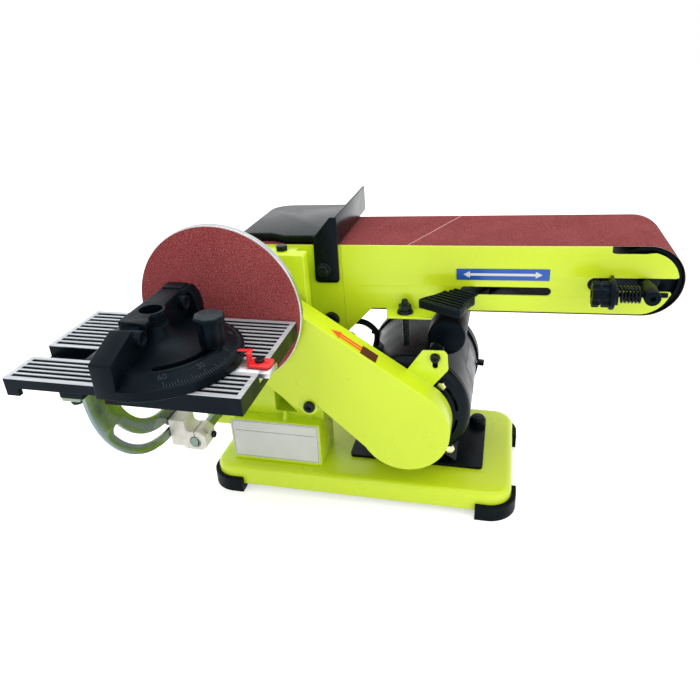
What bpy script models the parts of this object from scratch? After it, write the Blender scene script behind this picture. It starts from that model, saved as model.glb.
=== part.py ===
"""Belt and disc sander: one named object for each piece, in metres with +Z up.

Places are given from the point where the spindle axis meets the front of the
sanding disc: +X runs along the belt arm, +Y away from the operator, +Z up.
An empty at that point carries the whole machine and stands it on the floor.
"""

import math

import bmesh
import bpy
from mathutils import Euler, Matrix, Vector

# ---------------------------------------------------------------- driving sizes
FIT = 0.0003                    # gap between pieces that seat on each other
SHEET = 0.002                   # pressed steel of the tray and the belt cover

# Sanding disc and spindle
DISC_RADIUS = 0.075
DISC_PAPER = 0.0008
DISC_PLATE = 0.0062
DISC_RIM = 0.0008                # plate's rim showing round the abrasive
DISC_WEB = 0.0035                # plate's thickness inside its rim
DISC_HUB_RADIUS = 0.016
DISC_HUB = 0.005
SHAFT_RADIUS = 0.0075
SHAFT_SHOULDER = 0.0105
BEARING_RADIUS = 0.0175
BEARING_WIDTH = 0.011
BEARING_FRONT = 0.0415          # front face of the front bearing

# Belt arm
ARM_REST_ANGLE = math.radians(1.5)   # the arm rests a little above level on its stop
BELT_WIDTH = 0.100
BELT_LENGTH = 0.915             # measured along the inside of the loop
BELT_THICK = 0.001
DRUM_RADIUS = 0.0307
DRUM_SHELL = 0.004
ARM_FACE_Y = 0.080              # face of the arm's side plate, towards the operator
ARM_PLATE = 0.002
BELT_GAP = 0.0005               # between the side plate and the belt's edge
PLATEN = 0.0025
PLATEN_START = 0.036
BELT_SHOWS = 0.0012             # how far the belt stands below the side plate
SLIDE_Y = 0.130                 # middle of the idler's sliding rod
SLIDE_RADIUS = 0.006
LEVER_U = 0.243                 # pivot of the tension lever
YOKE_GAP = 0.0114               # between the idler drum and the yoke's web
CRANK = 0.009
REST_ABOVE = 0.041              # top of the work rest above the spindle axis
REST_SHEET = 0.0025
REST_BACK = 0.203
REST_GAP = 0.0024               # between the rest's fence and the belt
REST_FRONT = 0.085

# Work table and mitre gauge
TABLE_WIDTH = 0.192
TABLE_DEPTH = 0.127
TABLE_LEFT = -0.121
TABLE_GAP = 0.0023              # between the table's edge and the sanding disc
TABLE_TOP = -0.007
TABLE_SKIRT = 0.015
TABLE_WALL = 0.004
TABLE_DECK = 0.005
SLOT_Y = -0.084                 # middle of the mitre slot
SLOT_WIDTH = 0.0196
SLOT_DEPTH = 0.010
GROOVE_SHARE = 0.65              # groove's part of each groove and rib together
GROOVE_DEPTH = 0.0012
TILT_Y = -0.015                 # tilt axis of the table
TILT_Z = -0.021
TRUNNION_X = -0.0615
TRUNNION_PLATE = 0.003
TRUNNION_INSET = 0.020          # table's depth less the trunnion's radius
TRUNNION_RIM = 0.0135            # from its outer edge to the middle of its slot
TRUNNION_BAND = 0.032
TILT_BOLT_ANGLE = -87.0         # where the clamp bolt stands, seen along the tilt axis
TABLE_TILT = 60.0
ROD_X = -0.0350                 # support rod of the table
ROD_DROP = 0.003                # from the trunnion's lowest point to the rod's middle
ROD_RADIUS = 0.0055
GAUGE_INSET = 0.083             # gauge's pivot from the table's right edge
GAUGE_RADIUS = 0.064
GAUGE_RIM = 0.019               # from the head's rim to the middle of its arc slot
FENCE_THICK = 0.017
GAUGE_KNOB = 0.012

# Base, casting and motor
BASE_LEFT = -0.047
BASE_RIGHT = 0.265
BASE_FRONT = 0.015
BASE_BACK = 0.170
BASE_HEIGHT = 0.020
BASE_CORNER = 0.022
BASE_CREASE = 0.007
FOOT_DROP = 0.028               # from the tray's top to the floor
FOOT_STEP = 0.006               # from the tray's top to the foot's rim
FOOT_LEG = 0.0135
FOOT_RUBBER = 0.003
CAST_FRONT = 0.044
CAST_BACK = 0.070
CAST_TOP = 0.0365
CAST_WALL = 0.005
BOX_FRONT = 0.030               # front panel of the casting's foot
BOX_BACK = 0.080
BOX_LEFT = -0.022
BOX_RIGHT = 0.0735
BOX_TOP = -0.1345
PIVOT_RADIUS = 0.0217           # sleeve that the arm turns on
MOTOR_X = 0.161
MOTOR_Z = -0.121
MOTOR_RADIUS = 0.058
MOTOR_CLEAR = 0.006             # under the motor's shell, above the tray
MOTOR_WALL = 0.003
MOUNT_PLATE = 0.0035
MOUNT_SHEET = 0.0020
MOUNT_FRONT = 0.052
MOUNT_BACK = 0.145
MOTOR_FRONT = 0.060
BELL_DEPTH = 0.016
MOTOR_BACK = 0.176
ROTOR_RADIUS = 0.030
MOTOR_SHAFT = 0.007
CAPACITOR_RADIUS = 0.0183
CAPACITOR_ANGLE = 65.5
COVER_FRONT = 0.012
COVER_BACK = 0.038
COVER_SPINDLE = 0.043
COVER_MOTOR = 0.0423
COVER_TOP_START = 15.5          # where the cover's top edge leaves the spindle's end
COVER_TOP_END = 56.4            # and where it meets the motor's
COVER_TOP_RADIUS = 0.04426
SPINDLE_PULLEY = 0.030
DRIVE_BELT = 0.0024
DRIVE_BELT_WIDTH = 0.010
PULLEY_Y = 0.017

# ---------------------------------------------------------------- worked-out sizes
BELT_CENTRES = (BELT_LENGTH - 2 * math.pi * (DRUM_RADIUS + FIT)) / 2
BELT_OUTER = DRUM_RADIUS + FIT + BELT_THICK
PLATE_BACK = ARM_FACE_Y + ARM_PLATE
BELT_FRONT = PLATE_BACK + BELT_GAP
BELT_BACK = BELT_FRONT + BELT_WIDTH
TABLE_RIGHT = TABLE_LEFT + TABLE_WIDTH
GAUGE_X = TABLE_RIGHT - GAUGE_INSET
GAUGE_SLOT = GAUGE_RADIUS - GAUGE_RIM
KNOB_X = GAUGE_X + GAUGE_SLOT
POINTER_X = GAUGE_X + GAUGE_RADIUS + 0.0015
TABLE_BACK = -TABLE_GAP
TABLE_FRONT = TABLE_BACK - TABLE_DEPTH
TABLE_BOTTOM = TABLE_TOP - TABLE_SKIRT
BASE_TOP = MOTOR_Z - MOTOR_RADIUS - MOTOR_CLEAR
TRAY_BOTTOM = BASE_TOP - BASE_HEIGHT
TRUNNION_RADIUS = TABLE_DEPTH - TRUNNION_INSET
TRUNNION_SLOT = TRUNNION_RADIUS - TRUNNION_RIM
TRUNNION_INNER = TRUNNION_RADIUS - TRUNNION_BAND
ROD_Z = TILT_Z - TRUNNION_RADIUS - ROD_DROP
FOOT_TOP = BASE_TOP - FOOT_STEP
FLOOR_Z = BASE_TOP - FOOT_DROP
FAN_RADIUS = MOTOR_RADIUS - 0.012
MOTOR_TOP = MOTOR_Z + MOTOR_RADIUS
MOTOR_PULLEY = SPINDLE_PULLEY / 2
FENCE_LEFT = GAUGE_X - FIT - FENCE_THICK
FENCE_FRONT = SLOT_Y - 0.063
REAR_BEARING = BEARING_FRONT + BEARING_WIDTH + 0.010
DISC_BACK = DISC_PAPER + FIT + DISC_PLATE
ARM_FLAT_TOP = BELT_OUTER - 0.0002
ARM_NOSE = BELT_OUTER + 0.002
YOKE_WEB = BELT_CENTRES - DRUM_RADIUS - YOKE_GAP
GUIDE_U = YOKE_WEB - 0.033
RIGHTMOST = BELT_CENTRES * math.cos(ARM_REST_ANGLE) + BELT_OUTER
FRONTMOST = SLOT_Y - GAUGE_RADIUS

# ---------------------------------------------------------------- colours
PAINTS = {
    "lime_paint": ((0.60, 0.80, 0.045, 1.0), 0.0, 0.35),
    "black_paint": ((0.012, 0.014, 0.016, 1.0), 0.2, 0.40),
    "black_plastic": ((0.015, 0.020, 0.024, 1.0), 0.0, 0.45),
    "rubber": ((0.015, 0.017, 0.020, 1.0), 0.0, 0.70),
    "aluminium": ((0.75, 0.76, 0.78, 1.0), 1.0, 0.35),
    "steel": ((0.55, 0.56, 0.58, 1.0), 1.0, 0.30),
    "zinc": ((0.62, 0.64, 0.60, 1.0), 1.0, 0.28),
    "die_cast": ((0.70, 0.70, 0.66, 1.0), 0.3, 0.50),
    "abrasive": ((0.27, 0.045, 0.045, 1.0), 0.0, 0.90),
    "red_plastic": ((0.80, 0.012, 0.015, 1.0), 0.0, 0.40),
    "blue_label": ((0.0, 0.10, 0.50, 1.0), 0.0, 0.40),
    "arrow_film": ((0.75, 0.12, 0.03, 1.0), 0.0, 0.40),
}

STEPS = 24                      # sides of a middling round piece
MOTOR_STEPS = 24
DRUM_STEPS = 28
DISC_STEPS = 44
FRONT_VIEW = (math.pi / 2, 0.0, 0.0)            # outline in X and Z, thickness along Y
SIDE_VIEW = (math.pi / 2, 0.0, math.pi / 2)     # outline in Y and Z, thickness along X
TOP_VIEW = (0.0, 0.0, 0.0)
ALONG_Y = (-math.pi / 2, 0.0, 0.0)
ALONG_X = (0.0, math.pi / 2, 0.0)


# ---------------------------------------------------------------- scene
def clear_scene():
    for obj in list(bpy.data.objects):
        bpy.data.objects.remove(obj, do_unlink=True)


def make_collection(name):
    collection = bpy.data.collections.new(name)
    bpy.context.scene.collection.children.link(collection)
    return collection


def make_paints():
    made = {}
    for name, (colour, metallic, roughness) in PAINTS.items():
        material = bpy.data.materials.new(name)
        material.use_nodes = True
        shader = material.node_tree.nodes["Principled BSDF"]
        shader.inputs["Base Color"].default_value = colour
        shader.inputs["Metallic"].default_value = metallic
        shader.inputs["Roughness"].default_value = roughness
        material.diffuse_color = colour
        made[name] = material
    return made


def make_axis(name, place, parent=None, turn=(0.0, 0.0, 0.0)):
    """An empty on a joint's axis; its pieces are still placed in its carrier's frame."""
    empty = bpy.data.objects.new(name, None)
    AXIS_PLACES[name] = Vector(place) if parent else Vector()
    empty.location = place
    empty.rotation_euler = turn
    empty.parent = parent
    SANDER.objects.link(empty)
    return empty


def place_object(name, mesh, paint, parent, at, turn):
    obj = bpy.data.objects.new(name, mesh)
    obj.location = Vector(at) - AXIS_PLACES[parent.name]
    obj.rotation_euler = turn
    obj.parent = parent
    if paint:
        mesh.materials.append(PAINT[paint])
        SANDER.objects.link(obj)
    else:
        CUTTERS.objects.link(obj)
        obj.hide_render = True
        obj.display_type = "WIRE"
    return obj


# ---------------------------------------------------------------- shapes
def arc(centre, radius, start, end, steps=12):
    """Points on an arc, angles in degrees."""
    cx, cy = centre
    angles = [math.radians(start + (end - start) * i / steps) for i in range(steps + 1)]
    return [(cx + radius * math.cos(a), cy + radius * math.sin(a)) for a in angles]


def ring(centre, radius, steps=24):
    return arc(centre, radius, 0, 360, steps)[:-1]


def rounded_rect(x0, x1, y0, y1, radius, steps=5):
    corners = (
        ((x1 - radius, y1 - radius), 0),
        ((x0 + radius, y1 - radius), 90),
        ((x0 + radius, y0 + radius), 180),
        ((x1 - radius, y0 + radius), 270),
    )
    points = []
    for centre, start in corners:
        points += arc(centre, radius, start, start + 90, steps)
    return points


def lobed(radius, depth, lobes, steps):
    """The outline of a fluted grip, with so many lobes and so many points to each."""
    points = []
    for i in range(lobes * steps):
        angle = 2 * math.pi * i / (lobes * steps)
        reach = radius + depth * math.cos(lobes * angle)
        points.append((reach * math.cos(angle), reach * math.sin(angle)))
    return points


def slot_outline(x0, x1, y, half, steps=8):
    """A straight slot with round ends, lying along the outline's first axis."""
    return arc((x1, y), half, -90, 90, steps) + arc((x0, y), half, 90, 270, steps)


def arc_slot(centre, radius, half, start, end, steps=16, end_steps=6):
    """A slot with round ends that follows an arc."""
    cx, cy = centre
    end_at, start_at = math.radians(end), math.radians(start)
    tip = (cx + radius * math.cos(end_at), cy + radius * math.sin(end_at))
    tail = (cx + radius * math.cos(start_at), cy + radius * math.sin(start_at))
    outline = arc(centre, radius + half, start, end, steps)
    outline += arc(tip, half, end, end + 180, end_steps)[1:-1]
    outline += arc(centre, radius - half, end, start, steps)
    outline += arc(tail, half, start + 180, start + 360, end_steps)[1:-1]
    return outline


def loop_round(first, first_radius, second, second_radius, steps=20):
    """The outline of a belt that runs round two circles, first to second."""
    dx, dy = second[0] - first[0], second[1] - first[1]
    length = math.hypot(dx, dy)
    along = math.degrees(math.atan2(dy, dx))
    lean = math.degrees(math.acos((first_radius - second_radius) / length))
    outline = arc(second, second_radius, along - lean, along + lean, steps)
    outline += arc(first, first_radius, along + lean, along + 360 - lean, steps)
    return outline


def finish(obj, bevel=0.0, segments=1, angle=35.0):
    """Breaks the edges sharper than the angle and shades the others smooth."""
    if bevel:
        modifier = obj.modifiers.new("edges", "BEVEL")
        modifier.width = bevel
        modifier.segments = segments
        modifier.limit_method = "ANGLE"
        modifier.angle_limit = math.radians(angle)
        modifier.use_clamp_overlap = True
    obj.data.shade_smooth()
    obj.data.set_sharp_from_angle(angle=math.radians(angle))
    return obj


def flat(name, outlines, thick, paint, parent, at=(0, 0, 0), turn=TOP_VIEW):
    """A plate: the first outline is its edge and the others are its holes."""
    curve = bpy.data.curves.new(name, "CURVE")
    curve.dimensions = "2D"
    curve.fill_mode = "BOTH"
    curve.extrude = thick / 2
    for outline in outlines:
        spline = curve.splines.new("POLY")
        spline.points.add(len(outline) - 1)
        for point, (x, y) in zip(spline.points, outline):
            point.co = (x, y, 0.0, 1.0)
        spline.use_cyclic_u = True
    guide = bpy.data.objects.new(name + "_outline", curve)
    bpy.context.scene.collection.objects.link(guide)
    graph = bpy.context.evaluated_depsgraph_get()
    mesh = bpy.data.meshes.new_from_object(guide.evaluated_get(graph))
    bpy.data.objects.remove(guide, do_unlink=True)
    mesh.materials.clear()
    mesh.name = name
    shape = bmesh.new()
    shape.from_mesh(mesh)
    bmesh.ops.remove_doubles(shape, verts=shape.verts, dist=1e-6)
    bmesh.ops.recalc_face_normals(shape, faces=shape.faces)
    shape.to_mesh(mesh)
    shape.free()
    return place_object(name, mesh, paint, parent, at, turn)


def turned(name, profile, paint, parent, at=(0, 0, 0), turn=ALONG_Y, steps=STEPS):
    """A turned piece from (radius, height) points, closed on itself or on the axis."""
    closed = min(radius for radius, _ in profile) > 0
    area = 0.0
    for (r0, h0), (r1, h1) in zip(profile, profile[1:] + profile[:1]):
        area += r0 * h1 - r1 * h0
    points = profile if area < 0 else profile[::-1]
    mesh = bpy.data.meshes.new(name)
    edges = [(i, i + 1) for i in range(len(points) - 1)]
    if closed:
        edges.append((len(points) - 1, 0))
    mesh.from_pydata([(r, 0.0, h) for r, h in points], edges, [])
    obj = place_object(name, mesh, paint, parent, at, turn)
    screw = obj.modifiers.new("turn", "SCREW")
    screw.steps = steps
    screw.render_steps = steps
    screw.use_merge_vertices = True
    screw.merge_threshold = 1e-6
    screw.use_smooth_shade = True
    return obj


def solid_turned(obj):
    """Replaces a turned piece's modifiers with the mesh they make."""
    graph = bpy.context.evaluated_depsgraph_get()
    mesh = bpy.data.meshes.new_from_object(obj.evaluated_get(graph))
    shape = bmesh.new()
    shape.from_mesh(mesh)
    bmesh.ops.remove_doubles(shape, verts=shape.verts, dist=1e-6)
    bmesh.ops.recalc_face_normals(shape, faces=shape.faces)
    shape.to_mesh(mesh)
    shape.free()
    obj.modifiers.clear()
    obj.data = mesh
    return obj


def cylinder(name, radius, start, end, paint, parent, at=(0, 0, 0), turn=ALONG_Y, steps=STEPS):
    """A plain round bar between two heights along its own axis."""
    shape = bmesh.new()
    bmesh.ops.create_cone(
        shape, cap_ends=True, cap_tris=False, segments=steps,
        radius1=radius, radius2=radius, depth=end - start,
        matrix=Matrix.Translation((0, 0, (start + end) / 2)),
    )
    mesh = bpy.data.meshes.new(name)
    shape.to_mesh(mesh)
    shape.free()
    return place_object(name, mesh, paint, parent, at, turn)


def block(name, low, high, paint, parent, at=(0, 0, 0), turn=TOP_VIEW):
    """A box between two opposite corners."""
    middle = [(a + b) / 2 for a, b in zip(low, high)]
    size = [abs(b - a) for a, b in zip(low, high)]
    shape = bmesh.new()
    scale = Matrix.Diagonal((*size, 1.0))
    bmesh.ops.create_cube(shape, size=1.0, matrix=Matrix.Translation(middle) @ scale)
    mesh = bpy.data.meshes.new(name)
    shape.to_mesh(mesh)
    shape.free()
    return place_object(name, mesh, paint, parent, at, turn)


def join(obj, *others):
    return combine(obj, "UNION", others)


def cut(obj, *others):
    return combine(obj, "DIFFERENCE", others)


def combine(obj, operation, others):
    for other in others:
        modifier = obj.modifiers.new(other.name, "BOOLEAN")
        modifier.operation = operation
        modifier.object = other
        modifier.solver = "EXACT"
    return obj


def tube(name, points, radius, paint, parent, sides=2):
    """A round wire or cable through points."""
    curve = bpy.data.curves.new(name, "CURVE")
    curve.dimensions = "3D"
    curve.bevel_depth = radius
    curve.bevel_resolution = sides
    curve.use_fill_caps = True
    spline = curve.splines.new("POLY")
    spline.points.add(len(points) - 1)
    for point, place in zip(spline.points, points):
        point.co = (*place, 1.0)
    curve.materials.append(PAINT[paint])
    obj = bpy.data.objects.new(name, curve)
    obj.location = -AXIS_PLACES[parent.name]
    obj.parent = parent
    SANDER.objects.link(obj)
    return obj


def smooth_route(stations, steps=6):
    """Points on a smooth curve through the stations."""
    route = []
    ends = [stations[0]] + stations + [stations[-1]]
    for a, b, c, d in zip(ends, ends[1:], ends[2:], ends[3:]):
        a, b, c, d = Vector(a), Vector(b), Vector(c), Vector(d)
        for i in range(steps):
            t = i / steps
            bend = 2 * a - 5 * b + 4 * c - d
            twist = 3 * b - a - 3 * c + d
            route.append((2 * b + (c - a) * t + bend * t * t + twist * t ** 3) / 2)
    return route + [Vector(stations[-1])]


def coil_points(radius, start, end, turns, per_turn=9):
    """A helix along X of its parent."""
    points = []
    count = int(turns * per_turn)
    for i in range(count + 1):
        angle = 2 * math.pi * i / per_turn
        along = start + (end - start) * i / count
        points.append(Vector((along, radius * math.cos(angle), radius * math.sin(angle))))
    return points


def swept(name, path, profile, paint, parent):
    """A closed profile of (outward, up) points carried along a flat path of (point, outward)."""
    shape = bmesh.new()
    rows = []
    for (x, y), (nx, ny) in path:
        rows.append([shape.verts.new((x + nx * out, y + ny * out, up)) for out, up in profile])
    for row, after in zip(rows, rows[1:]):
        for i, vert in enumerate(row):
            j = (i + 1) % len(row)
            shape.faces.new((vert, row[j], after[j], after[i]))
    shape.faces.new(rows[0][::-1])
    shape.faces.new(rows[-1])
    bmesh.ops.recalc_face_normals(shape, faces=shape.faces)
    mesh = bpy.data.meshes.new(name)
    shape.to_mesh(mesh)
    shape.free()
    return place_object(name, mesh, paint, parent, (0, 0, 0), TOP_VIEW)


def hex_bolt(name, across, head, shank_radius, shank, paint, parent, at, turn=ALONG_Y):
    """A hexagon-headed bolt: the head's top is at zero and the shank runs on from it."""
    body = cylinder(name, across / math.sqrt(3), 0, head, paint, parent, at, turn, 6)
    stem = cylinder(name + "_shank", shank_radius, head / 2, head + shank, None, parent, at, turn, 12)
    return join(body, stem)


def socket_screw(name, radius, head, shank_radius, shank, paint, parent, at, turn=ALONG_Y):
    """A round-headed screw with a hexagon socket, drawn as one turned piece and a cut."""
    rim = min(0.0008, head / 3)
    profile = [
        (0, 0), (radius - rim, 0), (radius, rim), (radius, head),
        (shank_radius, head), (shank_radius, head + shank), (0, head + shank),
    ]
    body = turned(name, profile, paint, parent, at, turn, 12)
    socket = cylinder(
        name + "_socket", radius * 0.5, -0.001, head * 0.55, None, parent, at, turn, 6)
    return cut(solid_turned(body), socket)


def spiral(centre, first, last, start, end, steps):
    """Points on a curve whose radius changes evenly from first to last."""
    points = []
    for i in range(steps + 1):
        radius = first + (last - first) * i / steps
        points += arc(centre, radius, start + (end - start) * i / steps, 360, 1)[:1]
    return points


def pan(name, outline, depth, wall, edge, steps, paint, parent, at=(0, 0, 0), turn=TOP_VIEW):
    """A pressed pan: a face at height zero with walls that run down from its edge."""
    shape = bmesh.new()
    top = [shape.verts.new((x, y, 0.0)) for x, y in outline]
    low = [shape.verts.new((x, y, -depth)) for x, y in outline]
    shape.faces.new(top)
    for i in range(len(outline)):
        j = (i + 1) % len(outline)
        shape.faces.new((low[i], low[j], top[j], top[i]))
    mesh = bpy.data.meshes.new(name)
    shape.to_mesh(mesh)
    shape.free()
    obj = place_object(name, mesh, paint, parent, at, turn)
    crease = obj.modifiers.new("crease", "BEVEL")
    crease.width = edge
    crease.segments = steps
    crease.limit_method = "ANGLE"
    crease.angle_limit = math.radians(60)
    sheet = obj.modifiers.new("sheet", "SOLIDIFY")
    sheet.thickness = wall
    sheet.offset = -1.0
    sheet.use_even_offset = True
    return obj


# ---------------------------------------------------------------- base
def build_base():
    outline = rounded_rect(BASE_LEFT, BASE_RIGHT, BASE_FRONT, BASE_BACK, BASE_CORNER, 4)
    tray = pan(
        "base_tray", outline, BASE_HEIGHT, SHEET, BASE_CREASE, 3, "lime_paint", MACHINE,
        (0, 0, BASE_TOP))
    finish(tray)
    build_feet()


def build_feet():
    """Rubber corners that clip over the tray's edge."""
    lip = TRAY_BOTTOM - FIT
    inner = -SHEET - FIT
    outer = FIT + FOOT_RUBBER
    profile = [
        (outer, FLOOR_Z), (outer, FOOT_TOP), (FIT, FOOT_TOP), (FIT, lip), (inner, lip),
        (inner, lip + 0.006), (inner - FOOT_RUBBER, lip + 0.006), (inner - FOOT_RUBBER, FLOOR_Z),
    ]
    corners = {
        "foot_front_left": (BASE_LEFT, BASE_FRONT, 180),
        "foot_front_right": (BASE_RIGHT, BASE_FRONT, 270),
        "foot_back_right": (BASE_RIGHT, BASE_BACK, 0),
        "foot_back_left": (BASE_LEFT, BASE_BACK, 90),
    }
    for name, (x, y, start) in corners.items():
        centre = (
            x + (BASE_CORNER if x == BASE_LEFT else -BASE_CORNER),
            y + (BASE_CORNER if y == BASE_FRONT else -BASE_CORNER),
        )
        bend = arc(centre, BASE_CORNER, start, start + 90, 4)
        normals = arc((0, 0), 1.0, start, start + 90, 4)
        first, last = normals[0], normals[-1]
        before = (bend[0][0] + first[1] * FOOT_LEG, bend[0][1] - first[0] * FOOT_LEG)
        after = (bend[-1][0] - last[1] * FOOT_LEG, bend[-1][1] + last[0] * FOOT_LEG)
        path = [(before, first)] + list(zip(bend, normals)) + [(after, last)]
        finish(swept(name, path, profile, "rubber", MACHINE))


# ---------------------------------------------------------------- casting
COVER_BOLT = (0.0718, -0.1006)      # where the belt cover is bolted to the casting
HOOK = (MOTOR_X + 0.0254, MOTOR_Z + 0.0677)     # where its tab hooks on the motor's lug


def build_casting():
    """The upright casting: a hollow foot, an open-fronted ribbed column and bearing bosses."""
    column = [
        (BOX_LEFT, BOX_TOP - 0.010), (BOX_RIGHT, BOX_TOP - 0.010), (0.0780, -0.094),
        (0.0735, -0.070), (0.0735, CAST_TOP), (-0.030, CAST_TOP), (-0.040, 0.024),
        (-0.040, -0.030),
    ]
    casting = flat(
        "pillar_casting", [column], CAST_BACK - CAST_FRONT, "lime_paint", MACHINE,
        (0, (CAST_FRONT + CAST_BACK) / 2, 0), FRONT_VIEW)
    foot = block(
        "casting_foot", (BOX_LEFT, BOX_FRONT, BASE_TOP + FIT), (BOX_RIGHT, BOX_BACK, BOX_TOP),
        None, MACHINE)
    boss = cylinder("bearing_boss", BEARING_RADIUS + 0.0065, BEARING_FRONT - 0.0005,
                    CAST_BACK - 0.002, None, MACHINE, steps=28)
    pivot = cylinder("arm_shoulder", 0.030, CAST_BACK - 0.002, ARM_FACE_Y - FIT, None, MACHINE)
    sleeve = cylinder("arm_sleeve", PIVOT_RADIUS, CAST_BACK, PLATE_BACK, None, MACHINE)
    x, z = COVER_BOLT
    cover_boss = cylinder("cover_boss", 0.0075, COVER_BACK + FIT, CAST_FRONT + 0.006, None,
                          MACHINE, (x, 0, z), ALONG_Y, 20)
    rod_boss = flat(
        "rod_boss", [arc((ROD_X, ROD_Z), 0.0115, 90, 270, 10)
                     + [(BOX_LEFT + 0.006, ROD_Z - 0.0115), (BOX_LEFT + 0.006, ROD_Z + 0.0115)]],
        0.045, None, MACHINE, (0, BOX_FRONT + 0.0225, 0), FRONT_VIEW)
    web = flat("foot_web", [[(BOX_FRONT + 0.002, BOX_TOP - 0.002), (0.046, BOX_TOP - 0.002),
                             (0.046, BOX_TOP + 0.019)]],
               0.005, None, MACHINE, (BOX_RIGHT - 0.004, 0, 0), SIDE_VIEW)
    join(casting, foot, boss, pivot, sleeve, cover_boss, rod_boss, web)
    hollow = block(
        "foot_hollow", (BOX_LEFT + CAST_WALL, BOX_FRONT + CAST_WALL, BASE_TOP - 0.010),
        (BOX_RIGHT - CAST_WALL, BOX_BACK - CAST_WALL, BOX_TOP - CAST_WALL), None, MACHINE)
    pockets = flat(
        "column_pockets",
        [
            [(0.0245, -0.130), (0.0475, -0.130), (0.0245, -0.104)],
            [(0.030, -0.074), (0.050, -0.080), (0.054, -0.064), (0.022, -0.040), (0.002, -0.044)],
            [(-0.032, -0.034), (-0.032, 0.018), (-0.022, 0.026), (-0.022, -0.040)],
        ],
        CAST_BACK - CAST_FRONT, None, MACHINE,
        (0, (CAST_FRONT + CAST_BACK) / 2 - CAST_WALL, 0), FRONT_VIEW)
    step = flat(
        "column_step", [[(0.0615, -0.062), (0.080, -0.062), (0.080, 0.040), (0.0645, 0.040)]],
        0.020, None, MACHINE, (0, CAST_FRONT, 0), FRONT_VIEW)
    bores = [
        cylinder("front_bore", BEARING_RADIUS + FIT, 0, BEARING_FRONT + BEARING_WIDTH + FIT,
                 None, MACHINE),
        cylinder("rear_bore", BEARING_RADIUS + FIT, REAR_BEARING - FIT, 0.2, None, MACHINE),
        cylinder("shaft_bore", SHAFT_SHOULDER + 0.0022, 0, 0.2, None, MACHINE),
        cylinder("rod_bore", ROD_RADIUS + FIT, 0, 0.068, None, MACHINE, (ROD_X, 0, ROD_Z),
                 ALONG_Y, 20),
        cylinder("cover_thread", 0.0028, 0, CAST_FRONT + 0.008, None, MACHINE, (x, 0, z),
                 ALONG_Y, 12),
        cylinder("column_thread", 0.0028, CAST_TOP - 0.012, CAST_TOP + 0.01, None, MACHINE,
                 (0.0430, 0.056, 0), TOP_VIEW, 8),
    ]
    cut(casting, hollow, pockets, step, *bores)
    finish(casting)
    hex_bolt("column_bolt", 0.010, 0.0045, 0.0025, 0.009, "black_paint", MACHINE,
             (0.0430, 0.056, CAST_TOP + FIT + 0.0045), (math.pi, 0, 0))
    plate = rounded_rect(BOX_LEFT + 0.0015, BOX_RIGHT - 0.0015, BASE_TOP + 0.0045,
                         BOX_TOP - 0.0012, 0.0012, 2)
    flat("nameplate", [plate], 0.0006, "aluminium", MACHINE, (0, BOX_FRONT - FIT - 0.0003, 0),
         FRONT_VIEW)


# ---------------------------------------------------------------- spindle
def build_spindle():
    cylinder("sanding_disc", DISC_RADIUS - DISC_RIM, 0, DISC_PAPER, "abrasive", SPINDLE,
             steps=DISC_STEPS)
    front = DISC_PAPER + FIT
    hub = DISC_BACK + DISC_HUB
    floor = front + DISC_WEB - 0.001
    bore = SHAFT_RADIUS + FIT
    profile = [
        (0, front), (DISC_RADIUS - 0.0008, front), (DISC_RADIUS, front + 0.0008),
        (DISC_RADIUS, DISC_BACK), (DISC_RADIUS - 0.004, DISC_BACK),
        (DISC_RADIUS - 0.006, front + DISC_WEB), (DISC_HUB_RADIUS + 0.002, front + DISC_WEB),
        (DISC_HUB_RADIUS, hub), (bore, hub), (bore, floor), (0, floor),
    ]
    finish(turned("disc_plate", profile, "aluminium", SPINDLE, steps=DISC_STEPS))
    start = floor + FIT
    shoulder = BEARING_FRONT + BEARING_WIDTH + FIT
    end = BELT_BACK - 0.001
    profile = [
        (0, start), (SHAFT_RADIUS - 0.0005, start), (SHAFT_RADIUS, start + 0.0005),
        (SHAFT_RADIUS, shoulder), (SHAFT_SHOULDER, shoulder),
        (SHAFT_SHOULDER, REAR_BEARING - FIT), (SHAFT_RADIUS, REAR_BEARING - FIT),
        (SHAFT_RADIUS, end - 0.001), (SHAFT_RADIUS - 0.001, end), (0, end),
    ]
    finish(turned("main_shaft", profile, "steel", SPINDLE, steps=20))
    finish(turned("spindle_pulley", pulley_profile(SPINDLE_PULLEY, bore), "aluminium", SPINDLE,
                  steps=20))
    face = PLATE_BACK + 0.001
    back = BELT_BACK - 0.0015
    inner = DRUM_RADIUS - DRUM_SHELL
    hub = SHAFT_RADIUS + 0.006
    profile = [
        (bore, face), (DRUM_RADIUS, face), (DRUM_RADIUS, back), (inner, back),
        (inner, back - 0.030), (hub, back - 0.034), (hub, back - 0.006), (bore, back - 0.006),
    ]
    finish(turned("drive_drum", profile, "aluminium", SPINDLE, steps=DRUM_STEPS))
    for name, face in (("front_bearing", BEARING_FRONT), ("rear_bearing", REAR_BEARING)):
        back = face + BEARING_WIDTH
        groove = BEARING_RADIUS - 0.003
        race = SHAFT_RADIUS + 0.003
        profile = [
            (bore, face), (race, face), (race + 0.001, face + 0.0008), (groove, face + 0.0008),
            (BEARING_RADIUS, face), (BEARING_RADIUS, back), (bore, back),
        ]
        finish(turned(name, profile, "steel", MACHINE, steps=20))


def pulley_profile(seat, bore):
    """A flanged pulley: the belt runs on the seat between two flanges."""
    flange = seat + 0.0022
    side = PULLEY_Y + 0.0022
    back = PULLEY_Y + DRIVE_BELT_WIDTH + 0.0048
    return [
        (bore, PULLEY_Y), (flange, PULLEY_Y), (flange, side - 0.0004), (seat, side),
        (seat, back - 0.0022), (flange, back - 0.0018), (flange, back), (bore, back),
    ]


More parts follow.
